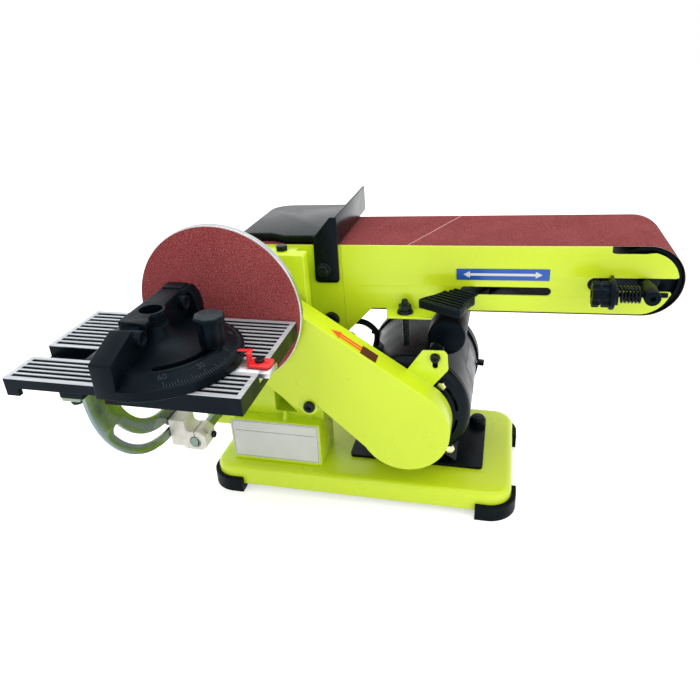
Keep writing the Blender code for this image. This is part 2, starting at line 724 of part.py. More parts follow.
def build_drive():
    motor = (MOTOR_X, MOTOR_Z)
    middle = PULLEY_Y + (DRIVE_BELT_WIDTH + 0.0048) / 2
    inner = loop_round((0, 0), SPINDLE_PULLEY + FIT, motor, MOTOR_PULLEY + FIT, 14)
    outer = loop_round(
        (0, 0), SPINDLE_PULLEY + FIT + DRIVE_BELT, motor, MOTOR_PULLEY + FIT + DRIVE_BELT, 14)
    finish(flat("drive_belt", [outer, inner], DRIVE_BELT_WIDTH, "rubber", MACHINE,
                (0, middle, 0), FRONT_VIEW))
    bore = MOTOR_SHAFT - 0.001 + FIT
    finish(turned("motor_pulley", pulley_profile(MOTOR_PULLEY, bore), "aluminium", ROTOR,
                  (MOTOR_X, 0, MOTOR_Z), steps=20))


def build_cover():
    """The pressed cover over the drive belt, open at the back, with a tab hooked on the motor."""
    motor = (MOTOR_X, MOTOR_Z)
    outline = arc((0, 0), COVER_SPINDLE, COVER_TOP_START, 238.7, 15)
    outline += [(0.0584, -0.1046)] + arc((0.0705, -0.1015), 0.009, 200, 340, 6)
    outline += [(0.0799, -0.1007)]
    outline += arc(motor, COVER_MOTOR, 209.7, 360, 11)
    outline += spiral(motor, COVER_MOTOR, COVER_TOP_RADIUS, 0, COVER_TOP_END, 5)[1:]
    cover = pan("belt_cover", outline, COVER_BACK - COVER_FRONT, SHEET, 0.0022, 2, "lime_paint",
                MACHINE, (0, COVER_FRONT, 0), FRONT_VIEW)
    hook_x, hook_z = HOOK
    outline = [(-0.0294, -0.0199), (-0.0049, -0.0335), (0.0121, -0.0119), (0.0109, 0.0036),
               (0.0081, 0.0074), (-0.0115, 0.0065)]
    tab = flat(
        "cover_tab", [[(hook_x + x, hook_z + z) for x, z in outline]],
        SHEET, None, MACHINE, (0, COVER_BACK - SHEET / 2, 0), FRONT_VIEW)
    join(cover, tab)
    x, z = COVER_BOLT
    hub_hole = cylinder("cover_hub_hole", DISC_HUB_RADIUS + 0.003, 0, 0.030, None, MACHINE)
    bolt_hole = cylinder("cover_bolt_hole", 0.0032, 0, 0.030, None, MACHINE, (x, 0, z),
                         ALONG_Y, 16)
    keyhole = flat(
        "cover_keyhole",
        [arc(HOOK, 0.0045, -56, 236, 16) + arc((hook_x, hook_z - 0.0087), 0.0025, 180, 360, 8)],
        0.010, None, MACHINE, (0, COVER_BACK, 0), FRONT_VIEW)
    cut(cover, hub_hole, bolt_hole, keyhole)
    finish(cover, angle=30.0)
    screw = socket_screw("cover_bolt", 0.0055, 0.004, 0.0025, 0.036, "black_paint", MACHINE,
                         (x, COVER_FRONT - FIT - 0.004, z))
    finish(screw)
    screw = socket_screw("cover_hook_screw", 0.0042, 0.003, 0.0022, 0.014, "black_paint",
                         MACHINE, (hook_x, COVER_BACK - SHEET - FIT - 0.003, hook_z))
    finish(screw)
    top_left = Vector(arc((0, 0), COVER_SPINDLE, COVER_TOP_START, 90, 1)[0])
    top_right = Vector(arc(motor, COVER_TOP_RADIUS, COVER_TOP_END, 90, 1)[0])
    start, end = 0.091, 0.140
    along = (top_right - top_left).normalized()
    normal = Vector((-along.y, along.x))
    centre = normal * (top_left.dot(normal) + FIT + 0.00015) + along * (start + end) / 2
    lean = math.atan2(-along.y, along.x)
    block("arrow_sticker", (-(end - start) / 2, -0.0065, -0.00015),
          ((end - start) / 2, 0.0065, 0.00015), "arrow_film", MACHINE,
          (centre.x, 0.0215, centre.y), (0, lean, 0))


# ---------------------------------------------------------------- motor
CABLE_BOX = (MOTOR_X - 0.7071 * (MOTOR_RADIUS - 0.005), 0.090,
             MOTOR_Z + 0.7071 * (MOTOR_RADIUS - 0.005))


def round_motor(inside, angle):
    """The place this far inside the motor's edge, at this angle in degrees."""
    reach = MOTOR_RADIUS - inside
    turn = math.radians(angle)
    return MOTOR_X + reach * math.cos(turn), MOTOR_Z + reach * math.sin(turn)


BELL_BOLTS = (("bell_bolt_upper", *round_motor(0.0120, 48.4)),
              ("bell_bolt_lower", *round_motor(0.0027, -43.2)))


def build_motor():
    motor = (MOTOR_X, 0, MOTOR_Z)
    inner = MOTOR_RADIUS - MOTOR_WALL
    shell = turned(
        "motor_shell",
        [(MOTOR_RADIUS, MOTOR_FRONT + FIT), (MOTOR_RADIUS, MOTOR_BACK),
         (inner, MOTOR_BACK), (inner, MOTOR_FRONT + FIT)],
        "black_paint", MACHINE, motor, steps=MOTOR_STEPS)
    solid_turned(shell)
    lump = block("cable_box", (-0.009, -0.009, 0), (0.009, 0.009, 0.010), None, MACHINE,
                 CABLE_BOX, (0, math.radians(-45), 0))
    join(shell, lump)
    bore = block("terminal_bore", (-0.0115, -0.007, -0.0105), (0.0025, 0.007, 0.0135), None,
                 MACHINE, CABLE_BOX)
    cut(shell, bore)
    finish(shell, angle=30.0)
    front = MOTOR_FRONT - BELL_DEPTH
    profile = [
        (MOTOR_SHAFT + 0.0006, front), (MOTOR_RADIUS - 0.018, front + 0.002),
        (MOTOR_RADIUS - 0.006, front + 0.006), (MOTOR_RADIUS, front + 0.012),
        (MOTOR_RADIUS, MOTOR_FRONT), (inner, MOTOR_FRONT), (inner, front + 0.014),
        (MOTOR_RADIUS - 0.008, front + 0.009), (MOTOR_RADIUS - 0.020, front + 0.005),
        (0.018, front + 0.005), (0.018, front + 0.010), (MOTOR_SHAFT + 0.0006, front + 0.010),
    ]
    bell = turned("motor_bell", profile, "black_paint", MACHINE, motor, steps=MOTOR_STEPS)
    solid_turned(bell)
    x, z = HOOK
    lug = flat(
        "bell_lug", [[round_motor(0.0048, 73.6), round_motor(0.0040, 54.3),
                      (x + 0.0061, z + 0.0033), (x, z + 0.0063), (x - 0.0064, z + 0.0033)]],
        0.010, None, MACHINE, (0, 0.055, 0), FRONT_VIEW)
    thread = cylinder("lug_thread", 0.0025, 0, 0.056, None, MACHINE, (x, 0, z), ALONG_Y, 12)
    vents = flat(
        "bell_vents",
        [arc_slot((MOTOR_X, MOTOR_Z), MOTOR_RADIUS - 0.012, 0.0022, a, a + 30, 2, 2)
         for a in range(8, 368, 45)],
        0.030, None, MACHINE, (0, 0.050, 0), FRONT_VIEW)
    bolt_holes = flat(
        "bell_bolt_holes", [ring((x, z), 0.0024, 8) for _, x, z in BELL_BOLTS], 0.030, None,
        MACHINE, (0, 0.050, 0), FRONT_VIEW)
    cut(join(bell, lug), thread, vents, bolt_holes)
    finish(bell, angle=30.0)
    back = MOTOR_BACK + FIT
    profile = [
        (0, back + 0.014), (MOTOR_RADIUS - 0.018, back + 0.014),
        (MOTOR_RADIUS - 0.005, back + 0.010), (MOTOR_RADIUS - 0.0005, back + 0.004),
        (MOTOR_RADIUS - 0.0005, back), (inner, back), (MOTOR_RADIUS - 0.007, back + 0.008),
        (MOTOR_RADIUS - 0.019, back + 0.012), (0.010, back + 0.012), (0.010, back + 0.002),
        (0.0062, back + 0.002), (0.0062, back + 0.0095), (0, back + 0.0095),
    ]
    cover = turned("fan_cover", profile, "black_paint", MACHINE, motor, steps=MOTOR_STEPS)
    solid_turned(cover)
    slots = flat(
        "fan_slots",
        [arc_slot((MOTOR_X, MOTOR_Z), MOTOR_RADIUS * 0.45, MOTOR_RADIUS * 0.052, a, a + 46, 3, 2)
         for a in range(10, 370, 60)],
        0.030, None, MACHINE, (0, back + 0.012, 0), FRONT_VIEW)
    cut(cover, slots)
    finish(cover, angle=30.0)
    profile = [
        (0, PULLEY_Y - 0.001), (MOTOR_SHAFT - 0.001, PULLEY_Y - 0.001),
        (MOTOR_SHAFT - 0.001, 0.036), (MOTOR_SHAFT, 0.036), (MOTOR_SHAFT, 0.070),
        (ROTOR_RADIUS, 0.072), (ROTOR_RADIUS, 0.150), (0.009, 0.152), (0.009, 0.158),
        (FAN_RADIUS - 0.006, 0.160), (FAN_RADIUS, 0.168), (FAN_RADIUS - 0.008, 0.162),
        (0.0059, 0.162), (0.0059, back + 0.009), (0, back + 0.009),
    ]
    finish(turned("motor_rotor", profile, "steel", ROTOR, motor, steps=20))
    build_motor_fittings()


def build_motor_mount(saddle_radius):
    """The plate under the motor, with a sheet cradle on two pairs of leaning legs."""
    left, right = MOTOR_X - 0.063, MOTOR_X + 0.0725
    plate_top = BASE_TOP + MOUNT_PLATE
    plate = rounded_rect(left, right, MOUNT_FRONT, MOUNT_BACK, 0.004, 3)
    mount = flat("motor_mount", [plate], MOUNT_PLATE - FIT, "black_paint", MACHINE,
                 (0, 0, (BASE_TOP + FIT + plate_top) / 2))
    centre = (MOTOR_X, MOTOR_Z)
    cradle = arc(centre, saddle_radius, 303, 237, 12)
    cradle += arc(centre, saddle_radius + MOUNT_SHEET, 237, 303, 12)
    legs = []
    for side in (-1, 1):
        for top, foot in ((saddle_radius * 0.515, saddle_radius * 0.789),
                          (saddle_radius * 0.377, saddle_radius * 0.206)):
            z = MOTOR_Z - math.sqrt((saddle_radius + MOUNT_SHEET / 2) ** 2 - top ** 2)
            lean = MOUNT_SHEET * 0.6
            legs.append([(MOTOR_X + side * (top - lean), z), (MOTOR_X + side * (top + lean), z),
                         (MOTOR_X + side * (foot + lean), plate_top - 0.001),
                         (MOTOR_X + side * (foot - lean), plate_top - 0.001)])
    depth = MOUNT_BACK - MOUNT_FRONT - 0.012
    middle = (MOUNT_BACK + MOUNT_FRONT) / 2
    sheets = [flat("mount_cradle", [cradle], depth, None, MACHINE, (0, middle, 0), FRONT_VIEW)]
    for i, leg in enumerate(legs):
        outline = leg if leg[0][0] > leg[1][0] else leg[::-1]
        sheets.append(flat(f"mount_leg_{i}", [outline], depth - 0.002, None, MACHINE,
                           (0, middle, 0), FRONT_VIEW))
    x, y = MOTOR_X + 0.0635, 0.131
    head = turned(
        "mount_bolt_head",
        [(0, plate_top - 0.001), (0.0088, plate_top - 0.001), (0.0088, plate_top + 0.0065),
         (0.0065, plate_top + 0.0090), (0, plate_top + 0.0095)],
        None, MACHINE, (x, y, 0), TOP_VIEW, 20)
    join(mount, *sheets, solid_turned(head))
    finish(mount, angle=30.0)


def build_motor_fittings():
    angle = math.radians(CAPACITOR_ANGLE)
    reach = MOTOR_RADIUS + FIT + CAPACITOR_RADIUS
    place = (MOTOR_X + reach * math.cos(angle), 0, MOTOR_Z + reach * math.sin(angle))
    cap = turned(
        "capacitor",
        [(0, 0.0735), (CAPACITOR_RADIUS - 0.002, 0.0735), (CAPACITOR_RADIUS, 0.0755),
         (CAPACITOR_RADIUS, 0.158), (CAPACITOR_RADIUS - 0.002, 0.160), (0, 0.160)],
        "black_plastic", MACHINE, place, steps=28)
    finish(cap)
    motor = (MOTOR_X, 0, MOTOR_Z)
    inner = MOTOR_RADIUS + FIT
    clear = CAPACITOR_RADIUS + FIT
    band = solid_turned(turned(
        "motor_band",
        [(inner, 0.163), (inner + 0.0018, 0.163), (inner + 0.0018, 0.175), (inner, 0.175)],
        "black_paint", MACHINE, motor, steps=MOTOR_STEPS))
    ears = []
    for name, angle in (("band_ear_left", 155), ("band_ear_right", -4)):
        turn = math.radians(angle)
        at = (MOTOR_X + (inner + 0.001) * math.cos(turn), 0.169,
              MOTOR_Z + (inner + 0.001) * math.sin(turn))
        ears.append(block(name, (0, -0.004, -0.0022), (0.007, 0.004, 0.0022), None, MACHINE, at,
                          (0, -turn, 0)))
    join(band, *ears)
    finish(band, angle=30.0)
    build_motor_mount(inner)
    for name, x, z in BELL_BOLTS:
        radius = math.hypot(x - MOTOR_X, z - MOTOR_Z)
        inside = MOTOR_RADIUS - 0.018
        face = MOTOR_FRONT - BELL_DEPTH + 0.002 + (radius - 0.0046 - inside) / 3 - FIT
        finish(hex_bolt(name, 0.008, 0.0045, 0.0021, 0.008, "zinc", MACHINE,
                        (x, face - 0.0045, z)))
    x, y, z = CABLE_BOX
    route = smooth_route([
        (0.0600, CAST_BACK + FIT, -0.0830), (0.0610, 0.0780, -0.0820),
        (0.0690, 0.0870, -0.0700), (0.0900, 0.0900, -0.0500), (x - 0.0189, y, z + 0.0375),
        (x - 0.0078, y, z + 0.0335), (x - 0.0010, y, z + 0.0235), (x - 0.0040, y, z + 0.0045),
    ], 3)
    tube("motor_cable", route, 0.0030, "rubber", MACHINE)


# ---------------------------------------------------------------- belt arm
SLOT_U = (0.203, 0.283)             # the lever's slot, along the arm
SLOT_W = (-0.0155, -0.0073)
TRACK_START = 0.3134                # round end of the idler's slot
TRACK_W = (-0.0100, 0.0007)
LEVER_TURN = math.radians(31.5)     # the lever rests this far back
STRAP_U = (0.066, 0.090)
REST_BOLT = (0.074, 0.008)
LOCK_BOLTS = ((0.0785, -0.0429, 0.008), (0.0940, -0.0640, 0.009))
STOP_BOLT = (0.150, 0.071)


def build_arm():
    """The arm's side plate with its bent tabs and the brackets welded inside it."""
    idler = (BELT_CENTRES, 0.0)
    middle = (TRACK_W[0] + TRACK_W[1]) / 2
    half = (TRACK_W[1] - TRACK_W[0]) / 2
    plate_low = BELT_OUTER - BELT_SHOWS
    edge = arc((0, 0), ARM_NOSE, math.degrees(math.asin(ARM_FLAT_TOP / ARM_NOSE)), 290, 14)
    edge += [(0.062, -0.040), (0.066, -0.060), (0.066, -0.072), (0.069, -0.075),
             (0.097, -0.075), (0.102, -0.070), (0.101, -0.061), (0.0929, -0.0565),
             (0.1197, -plate_low)]
    edge += arc((0.3570, -0.0046), plate_low - 0.0046, -90, -12, 7)
    edge += [(0.3825, TRACK_W[0])]
    edge += arc((TRACK_START + half, middle), half, 270, 90, 8)
    edge += [(0.3845, TRACK_W[1])]
    edge += arc(idler, 0.0266, 8, 78, 6) + [(0.3580, 0.0252), (0.3340, 0.0252),
                                            (0.3315, 0.0275), (0.3310, ARM_FLAT_TOP)]
    lever_slot = slot_outline(
        SLOT_U[0] + 0.0041, SLOT_U[1] - 0.0041, (SLOT_W[0] + SLOT_W[1]) / 2,
        (SLOT_W[1] - SLOT_W[0]) / 2, 6)
    bolt_holes = [ring((u, w), 0.0028, 12) for u, w, _ in LOCK_BOLTS]
    plate = flat(
        "arm_plate",
        [edge, ring((0, 0), PIVOT_RADIUS + FIT, 28), lever_slot, ring(REST_BOLT, 0.0030, 12)]
        + bolt_holes,
        ARM_PLATE, "lime_paint", ARM, (0, (ARM_FACE_Y + PLATE_BACK) / 2, 0), FRONT_VIEW)
    u, y = STOP_BOLT
    stop_tab = flat(
        "stop_tab", [[(0.132, ARM_FACE_Y + 0.001), (0.182, ARM_FACE_Y + 0.001), (0.178, 0.060),
                      (0.136, 0.060)], ring((u, y), 0.0033, 16)],
        ARM_PLATE, None, ARM, (0, 0, -plate_low + ARM_PLATE / 2 + 0.0002))
    joggle = flat(
        "arm_joggle", [[(-0.040, -0.080), (0.0930, -0.080), (0.0930, 0.040), (-0.040, 0.040)]],
        0.0008, None, ARM, (0, ARM_FACE_Y, 0), FRONT_VIEW)
    lug = block("tracking_lug", (0.3318, 0.044, -0.0065), (0.3343, ARM_FACE_Y + 0.001, 0.0065),
                None, ARM)
    shelf_top = SLOT_W[0] + 0.0004 - FIT
    shelf = block("lever_shelf", (LEVER_U - 0.014, PLATE_BACK - 0.001, shelf_top - 0.0025),
                  (LEVER_U + 0.014, SLIDE_Y + 0.012, shelf_top), None, ARM)
    pin = cylinder("lever_pin", 0.004, shelf_top - 0.001, -0.0068, None, ARM,
                   (LEVER_U, SLIDE_Y, 0), TOP_VIEW, 16)
    guide = block("slide_guide", (GUIDE_U, PLATE_BACK - 0.001, -0.013),
                  (GUIDE_U + 0.003, SLIDE_Y + 0.013, 0.013), None, ARM)
    join(plate, stop_tab, lug, shelf, pin, guide)
    slide_hole = cylinder("slide_hole", SLIDE_RADIUS + FIT, GUIDE_U - 0.01, GUIDE_U + 0.01,
                          None, ARM, (0, SLIDE_Y, 0), ALONG_X, 20)
    screw_hole = cylinder("screw_hole", 0.0028, 0.325, 0.340, None, ARM, (0, 0.052, 0), ALONG_X,
                          12)
    cut(plate, slide_hole, screw_hole, joggle)
    finish(plate, angle=30.0)
    build_platen_and_belt(idler)
    build_work_rest()
    for name, (u, w, radius) in zip(("arm_lock_bolt", "arm_pivot_bolt"), LOCK_BOLTS):
        screw = socket_screw(name, radius, 0.006, 0.0025, 0.008, "black_paint", ARM,
                             (u, ARM_FACE_Y - FIT - 0.006, w))
        finish(screw)
    u, y = STOP_BOLT
    top = -BELT_OUTER + BELT_SHOWS + ARM_PLATE + 0.0002
    low = MOTOR_TOP - 0.0004
    profile = [
        (0, low), (0.0030, low), (0.0030, top + FIT), (0.0075, top + FIT),
        (0.0075, top + 0.0030), (0.0055, top + 0.0034), (0.0055, top + 0.0085),
        (0.0030, top + 0.0090), (0.0030, top + 0.0125), (0.0020, top + 0.0138), (0, top + 0.0138),
    ]
    finish(turned("stop_bolt", profile, "black_paint", ARM, (u, y, 0), TOP_VIEW, 16))
    block("tension_label", (0.1992, ARM_FACE_Y - FIT - 0.0003, -0.0003),
          (0.2802, ARM_FACE_Y - FIT, 0.0095), "blue_label", ARM)


def build_platen_and_belt(idler):
    top = BELT_OUTER - BELT_THICK - FIT
    front = PLATE_BACK + FIT
    angle = [
        (front, 0.015), (front + PLATEN, 0.015), (front + PLATEN, top - PLATEN),
        (BELT_BACK - 0.001, top - PLATEN), (BELT_BACK - 0.001, top), (front + 0.001, top),
        (front, top - 0.001),
    ]
    start, end = PLATEN_START, YOKE_WEB - 0.003
    finish(flat("platen", [angle], end - start, "steel", ARM, ((start + end) / 2, 0, 0),
                SIDE_VIEW))
    inner = loop_round((0, 0), DRUM_RADIUS + FIT, idler, DRUM_RADIUS + FIT)
    outer = loop_round((0, 0), BELT_OUTER, idler, BELT_OUTER)
    finish(flat("sanding_belt", [outer, inner], BELT_WIDTH, "abrasive", ARM,
                (0, (BELT_FRONT + BELT_BACK) / 2, 0), FRONT_VIEW))


def build_work_rest():
    """The folded rest over the belt: a flat shelf, an upright fence and a strap bolted on."""
    left, right = STRAP_U
    shelf = [(-0.010, REST_FRONT), (right - 0.001, REST_FRONT), (right - 0.001, REST_BACK - 0.003),
             (0.012, REST_BACK - 0.003)]
    shelf += arc((0.010, REST_BACK - 0.023), 0.020, 90, 180, 6)
    rest = flat("work_rest", [shelf], REST_SHEET, "black_paint", ARM,
                (0, 0, REST_ABOVE - REST_SHEET / 2))
    strap_back = ARM_FACE_Y - FIT
    strap_front = strap_back - REST_SHEET
    strap = [(left, 0.040), (left, 0.000)] + arc((left + 0.004, 0.000), 0.004, 180, 270, 4)
    inset = 0.0004
    strap += arc((right - inset - 0.004, 0.000), 0.004, 270, 360, 4)
    strap += [(right - inset, 0.060 - inset), (0.083, 0.060 - inset)]
    side = flat("rest_strap", [strap, ring(REST_BOLT, 0.0030, 12)], REST_SHEET, None, ARM,
                (0, (strap_front + strap_back) / 2, 0), FRONT_VIEW)
    fence = block("rest_fence", (right - REST_SHEET, strap_front + inset, BELT_OUTER + REST_GAP),
                  (right, REST_BACK, 0.060), None, ARM)
    lip = block("rest_lip", (-0.0096, REST_FRONT + inset, BELT_OUTER + REST_GAP),
                (right - 0.0012, REST_FRONT + inset + REST_SHEET, REST_ABOVE - inset), None, ARM)
    join(rest, side, fence, lip)
    finish(rest, angle=30.0)
    u, w = REST_BOLT
    finish(hex_bolt("rest_bolt", 0.013, 0.005, 0.0026, 0.010, "black_paint", ARM,
                    (u, strap_front - FIT - 0.005, w)))


def build_idler():
    """The idler's sliding yoke with its axle, its springs and the tracking knob."""
    near = PLATE_BACK + FIT
    far = BELT_BACK - 0.001
    ear = 0.0025
    web = block("idler_yoke", (YOKE_WEB, near, -0.012), (YOKE_WEB + 0.003, far, 0.012),
                "steel", CARRIAGE)
    ear_outline = [(YOKE_WEB, -0.012), (BELT_CENTRES, -0.012)]
    ear_outline += arc((BELT_CENTRES, 0), 0.012, -90, 90, 10)[1:]
    ear_outline += [(YOKE_WEB, 0.012)]
    ears = [
        flat("yoke_ear_near", [ear_outline], ear, None, CARRIAGE, (0, near + ear / 2, 0),
             FRONT_VIEW),
        flat("yoke_ear_far", [ear_outline], ear, None, CARRIAGE, (0, far - ear / 2, 0),
             FRONT_VIEW),
    ]
    rod = cylinder("yoke_rod", SLIDE_RADIUS, LEVER_U + 0.012, YOKE_WEB + 0.002, None, CARRIAGE,
                   (0, SLIDE_Y, 0), ALONG_X, 20)
    pin_reach = CRANK * math.cos(LEVER_TURN)
    end = block("yoke_end", (LEVER_U - 0.006, SLIDE_Y - 0.006, -0.0060),
                (LEVER_U + 0.015, SLIDE_Y + pin_reach + 0.008, -0.0020), None, CARRIAGE)
    join(web, *ears, rod, end)
    crank_slot = block(
        "crank_slot", (LEVER_U + 0.0006, SLIDE_Y + pin_reach - 0.0040, -0.010),
        (LEVER_U + 0.0086, SLIDE_Y + pin_reach + 0.0052, 0.010), None, CARRIAGE)
    axle_holes = cylinder("axle_holes", 0.0053, 0.070, 0.200, None, CARRIAGE,
                          (BELT_CENTRES, 0, 0), ALONG_Y, 20)
    cut(web, crank_slot, axle_holes)
    finish(web, angle=30.0)
    profile = [(0, 0.043), (0.0065, 0.043), (0.0075, 0.044), (0.0075, 0.064), (0.005, 0.066),
               (0.005, far + 0.001), (0, far + 0.001)]
    axle = solid_turned(turned("idler_axle", profile, "black_paint", CARRIAGE,
                               (BELT_CENTRES, 0, 0), steps=18))
    screw = cylinder("tracking_screw", 0.0025, 0.320, 0.3725, None, CARRIAGE, (0, 0.052, 0),
                     ALONG_X, 16)
    flat_cut = block("axle_flat", (BELT_CENTRES - 0.01, 0.074, 0.0003),
                     (BELT_CENTRES + 0.01, near, 0.010), None, CARRIAGE)
    socket = cylinder("axle_socket", 0.003, 0.040, 0.046, None, CARRIAGE,
                      (BELT_CENTRES, 0, 0), ALONG_Y, 6)
    cut(join(axle, screw), flat_cut, socket)
    finish(axle, angle=30.0)
    inner = DRUM_RADIUS - DRUM_SHELL
    front, back = near + ear + 0.0007, far - ear - 0.0007
    profile = [
        (0.0053, front), (0.012, front), (0.013, front + 0.006), (inner, front + 0.006),
        (inner, front), (DRUM_RADIUS, front), (DRUM_RADIUS, back), (0.0053, back),
    ]
    finish(turned("idler_drum", profile, "black_paint", IDLER, (BELT_CENTRES, 0, 0),
                  steps=DRUM_STEPS))
    coil = coil_points(0.0085, GUIDE_U + 0.003 + FIT + 0.0011, YOKE_WEB - FIT - 0.0011, 5)
    coil = [point + Vector((0, SLIDE_Y, 0)) for point in coil]
    tube("tension_spring", coil, 0.0011, "steel", ARM, 1)
    coil = coil_points(0.0078, 0.3343 + FIT + 0.0009, BELT_CENTRES - 0.0075 - FIT - 0.0009, 5)
    coil = [point + Vector((0, 0.052, 0)) for point in coil]
    tube("tracking_spring", coil, 0.0009, "steel", ARM, 1)
    build_knob()
    build_lever()


def build_knob():
    left, right = 0.3140, 0.3318 - FIT
    grip_end = right - 0.0040
    grip = flat("tracking_knob", [lobed(0.0117, 0.0006, 8, 4)], grip_end - left,
                "black_plastic", KNOB, ((left + grip_end) / 2, 0.052, 0), ALONG_X)
    flange = cylinder("knob_flange", 0.0135, grip_end - 0.0004, right, None, KNOB,
                      (0, 0.052, 0), ALONG_X, 20)
    bore = cylinder("knob_bore", 0.0028, 0.300, 0.340, None, KNOB, (0, 0.052, 0), ALONG_X, 12)
    cut(join(grip, flange), bore)
    finish(grip, angle=30.0)


def build_lever():
    """The belt tension lever: a bar through the arm's slot with a ribbed grip outside."""
    reach = 0.1077
    bottom, top = SLOT_W[0] + 0.0004, SLOT_W[1] - 0.0005
    side = [
        (0.006, 0.046), (0.006, 0.064), (0.0135, 0.070), (0.0165, 0.0745), (0.0165, 0.080),
        (0.0215, 0.098), (0.0225, reach - 0.003), (0.0205, reach),
    ]
    outline = [(-half, -along) for half, along in side[::-1]]
    outline = [(half, -along) for half, along in side] + outline
    outline += arc((0, 0), 0.0110, 237, -57, 14)
    turn = (0, 0, -LEVER_TURN)
    lever = flat("tension_lever", [outline, ring((0, 0), 0.0043, 16)], top - bottom,
                 "black_plastic", LEVER, (LEVER_U, SLIDE_Y, (top + bottom) / 2), turn)
    ribs = []
    for i in range(7):
        along = reach - 0.0075 - i * 0.0052
        half = 0.0190 - i * 0.0011
        ribs.append([(-half, -along - 0.0014), (half, -along - 0.0014), (half, -along + 0.0014),
                     (-half, -along + 0.0014)])
    grooves = flat("lever_grooves", ribs, 0.0020, None, LEVER, (LEVER_U, SLIDE_Y, top), turn)
    pin_angle = math.radians(90) - LEVER_TURN
    pin = cylinder("crank_pin", 0.003, bottom + 0.002, -0.0022, None, LEVER,
                   (LEVER_U + CRANK * math.cos(pin_angle), SLIDE_Y + CRANK * math.sin(pin_angle),
                    0), TOP_VIEW, 16)
    cut(join(lever, pin), grooves)
    finish(lever, angle=30.0)


# ---------------------------------------------------------------- work table
def build_table():
    """The ribbed casting with its mitre slot, hollow underneath."""
    body = block("table", (TABLE_LEFT, TABLE_FRONT, TABLE_BOTTOM),
                 (TABLE_RIGHT, TABLE_BACK, TABLE_TOP), "aluminium", TABLE)
    slot_front = SLOT_Y - SLOT_WIDTH / 2
    slot_back = SLOT_Y + SLOT_WIDTH / 2
    left, right = TABLE_LEFT + TABLE_WALL, TABLE_RIGHT - TABLE_WALL
    under = TABLE_TOP - TABLE_DECK
    low = TABLE_BOTTOM - 0.010
    trim = TABLE_LEFT + 0.011
    cutters = [
        block("table_slot", (TABLE_LEFT - 0.01, slot_front, TABLE_TOP - SLOT_DEPTH),
              (TABLE_RIGHT + 0.01, slot_back, TABLE_TOP + 0.01), None, TABLE),
        block("front_hollow", (left, TABLE_FRONT + TABLE_WALL, low),
              (right, slot_front - TABLE_WALL, under), None, TABLE),
        block("back_hollow", (left, slot_back + TABLE_WALL, low),
              (right, TABLE_BACK - TABLE_WALL, under), None, TABLE),
        block("slot_relief", (left + 0.012, slot_front - 0.001, low),
              (right - 0.012, slot_back + 0.001, TABLE_TOP - SLOT_DEPTH - 0.0035), None, TABLE),
        block("skirt_relief", (trim, TABLE_FRONT - 0.01, low),
              (-0.037, TABLE_FRONT + TABLE_WALL + 0.0002, TABLE_TOP - 0.0085), None, TABLE),
    ]
    grooves = []
    panels = ((TABLE_FRONT, slot_front, 5), (slot_back, TABLE_BACK, 10))
    for start, end, count in panels:
        pitch = (end - start - TABLE_WALL - 0.002) / count
        for i in range(count):
            middle = start + 0.003 + pitch * (i + 0.5)
            near, far = middle - pitch * GROOVE_SHARE / 2, middle + pitch * GROOVE_SHARE / 2
            grooves.append([(left, near), (right, near), (right, far), (left, far)])
    groove_cut = flat("table_grooves", grooves, 0.004, None, TABLE,
                      (0, 0, TABLE_TOP - GROOVE_DEPTH + 0.002))
    screw_hole = cylinder("trunnion_thread", 0.0022, TABLE_BOTTOM - 0.02, TABLE_TOP - 0.006, None,
                          TABLE, (-0.0680, TABLE_FRONT + 0.0095, 0), TOP_VIEW, 12)
    cutters.append(screw_hole)
    pad = block("trunnion_pad", (-0.0770, TABLE_FRONT + 0.003, TABLE_BOTTOM),
                (-0.0575, TABLE_FRONT + 0.017, under + 0.001), None, TABLE)
    for cutter in cutters[:-1]:
        cut(body, cutter)
    join(body, pad)
    cut(body, screw_hole, groove_cut)
    finish(body, angle=30.0)
    build_trunnion()


def build_trunnion():
    centre = (TILT_Y, TILT_Z)
    top = TABLE_BOTTOM - FIT
    outer_end = -180 + math.degrees(math.asin((TILT_Z - top) / TRUNNION_RADIUS))
    inner_end = -180 + math.degrees(math.asin((TILT_Z - top) / TRUNNION_INNER))
    outline = arc(centre, TRUNNION_RADIUS, outer_end, -80, 16)
    outline += arc(centre, TRUNNION_INNER, -80, inner_end, 12)
    slot = arc_slot(centre, TRUNNION_SLOT, 0.0045, -148, TILT_BOLT_ANGLE + 0.5, 12)
    plate = flat("trunnion", [outline, slot], TRUNNION_PLATE, "zinc", TABLE,
                 (TRUNNION_X, 0, 0), SIDE_VIEW)
    flange = block("trunnion_flange", (-0.0770, TABLE_FRONT + 0.0035, top - TRUNNION_PLATE),
                   (TRUNNION_X, TABLE_FRONT + 0.017, top), None, TABLE)
    hole = cylinder("flange_hole", 0.0028, TABLE_BOTTOM - 0.01, TABLE_BOTTOM + 0.01, None,
                    TABLE, (-0.0680, TABLE_FRONT + 0.0095, 0), TOP_VIEW, 12)
    cut(join(plate, flange), hole)
    finish(plate, angle=30.0)
    head = top - TRUNNION_PLATE - FIT
    screw = socket_screw("trunnion_screw", 0.0050, 0.0035, 0.0019, 0.012, "black_paint", TABLE,
                         (-0.0680, TABLE_FRONT + 0.0095, head - 0.0035), TOP_VIEW)
    finish(screw)


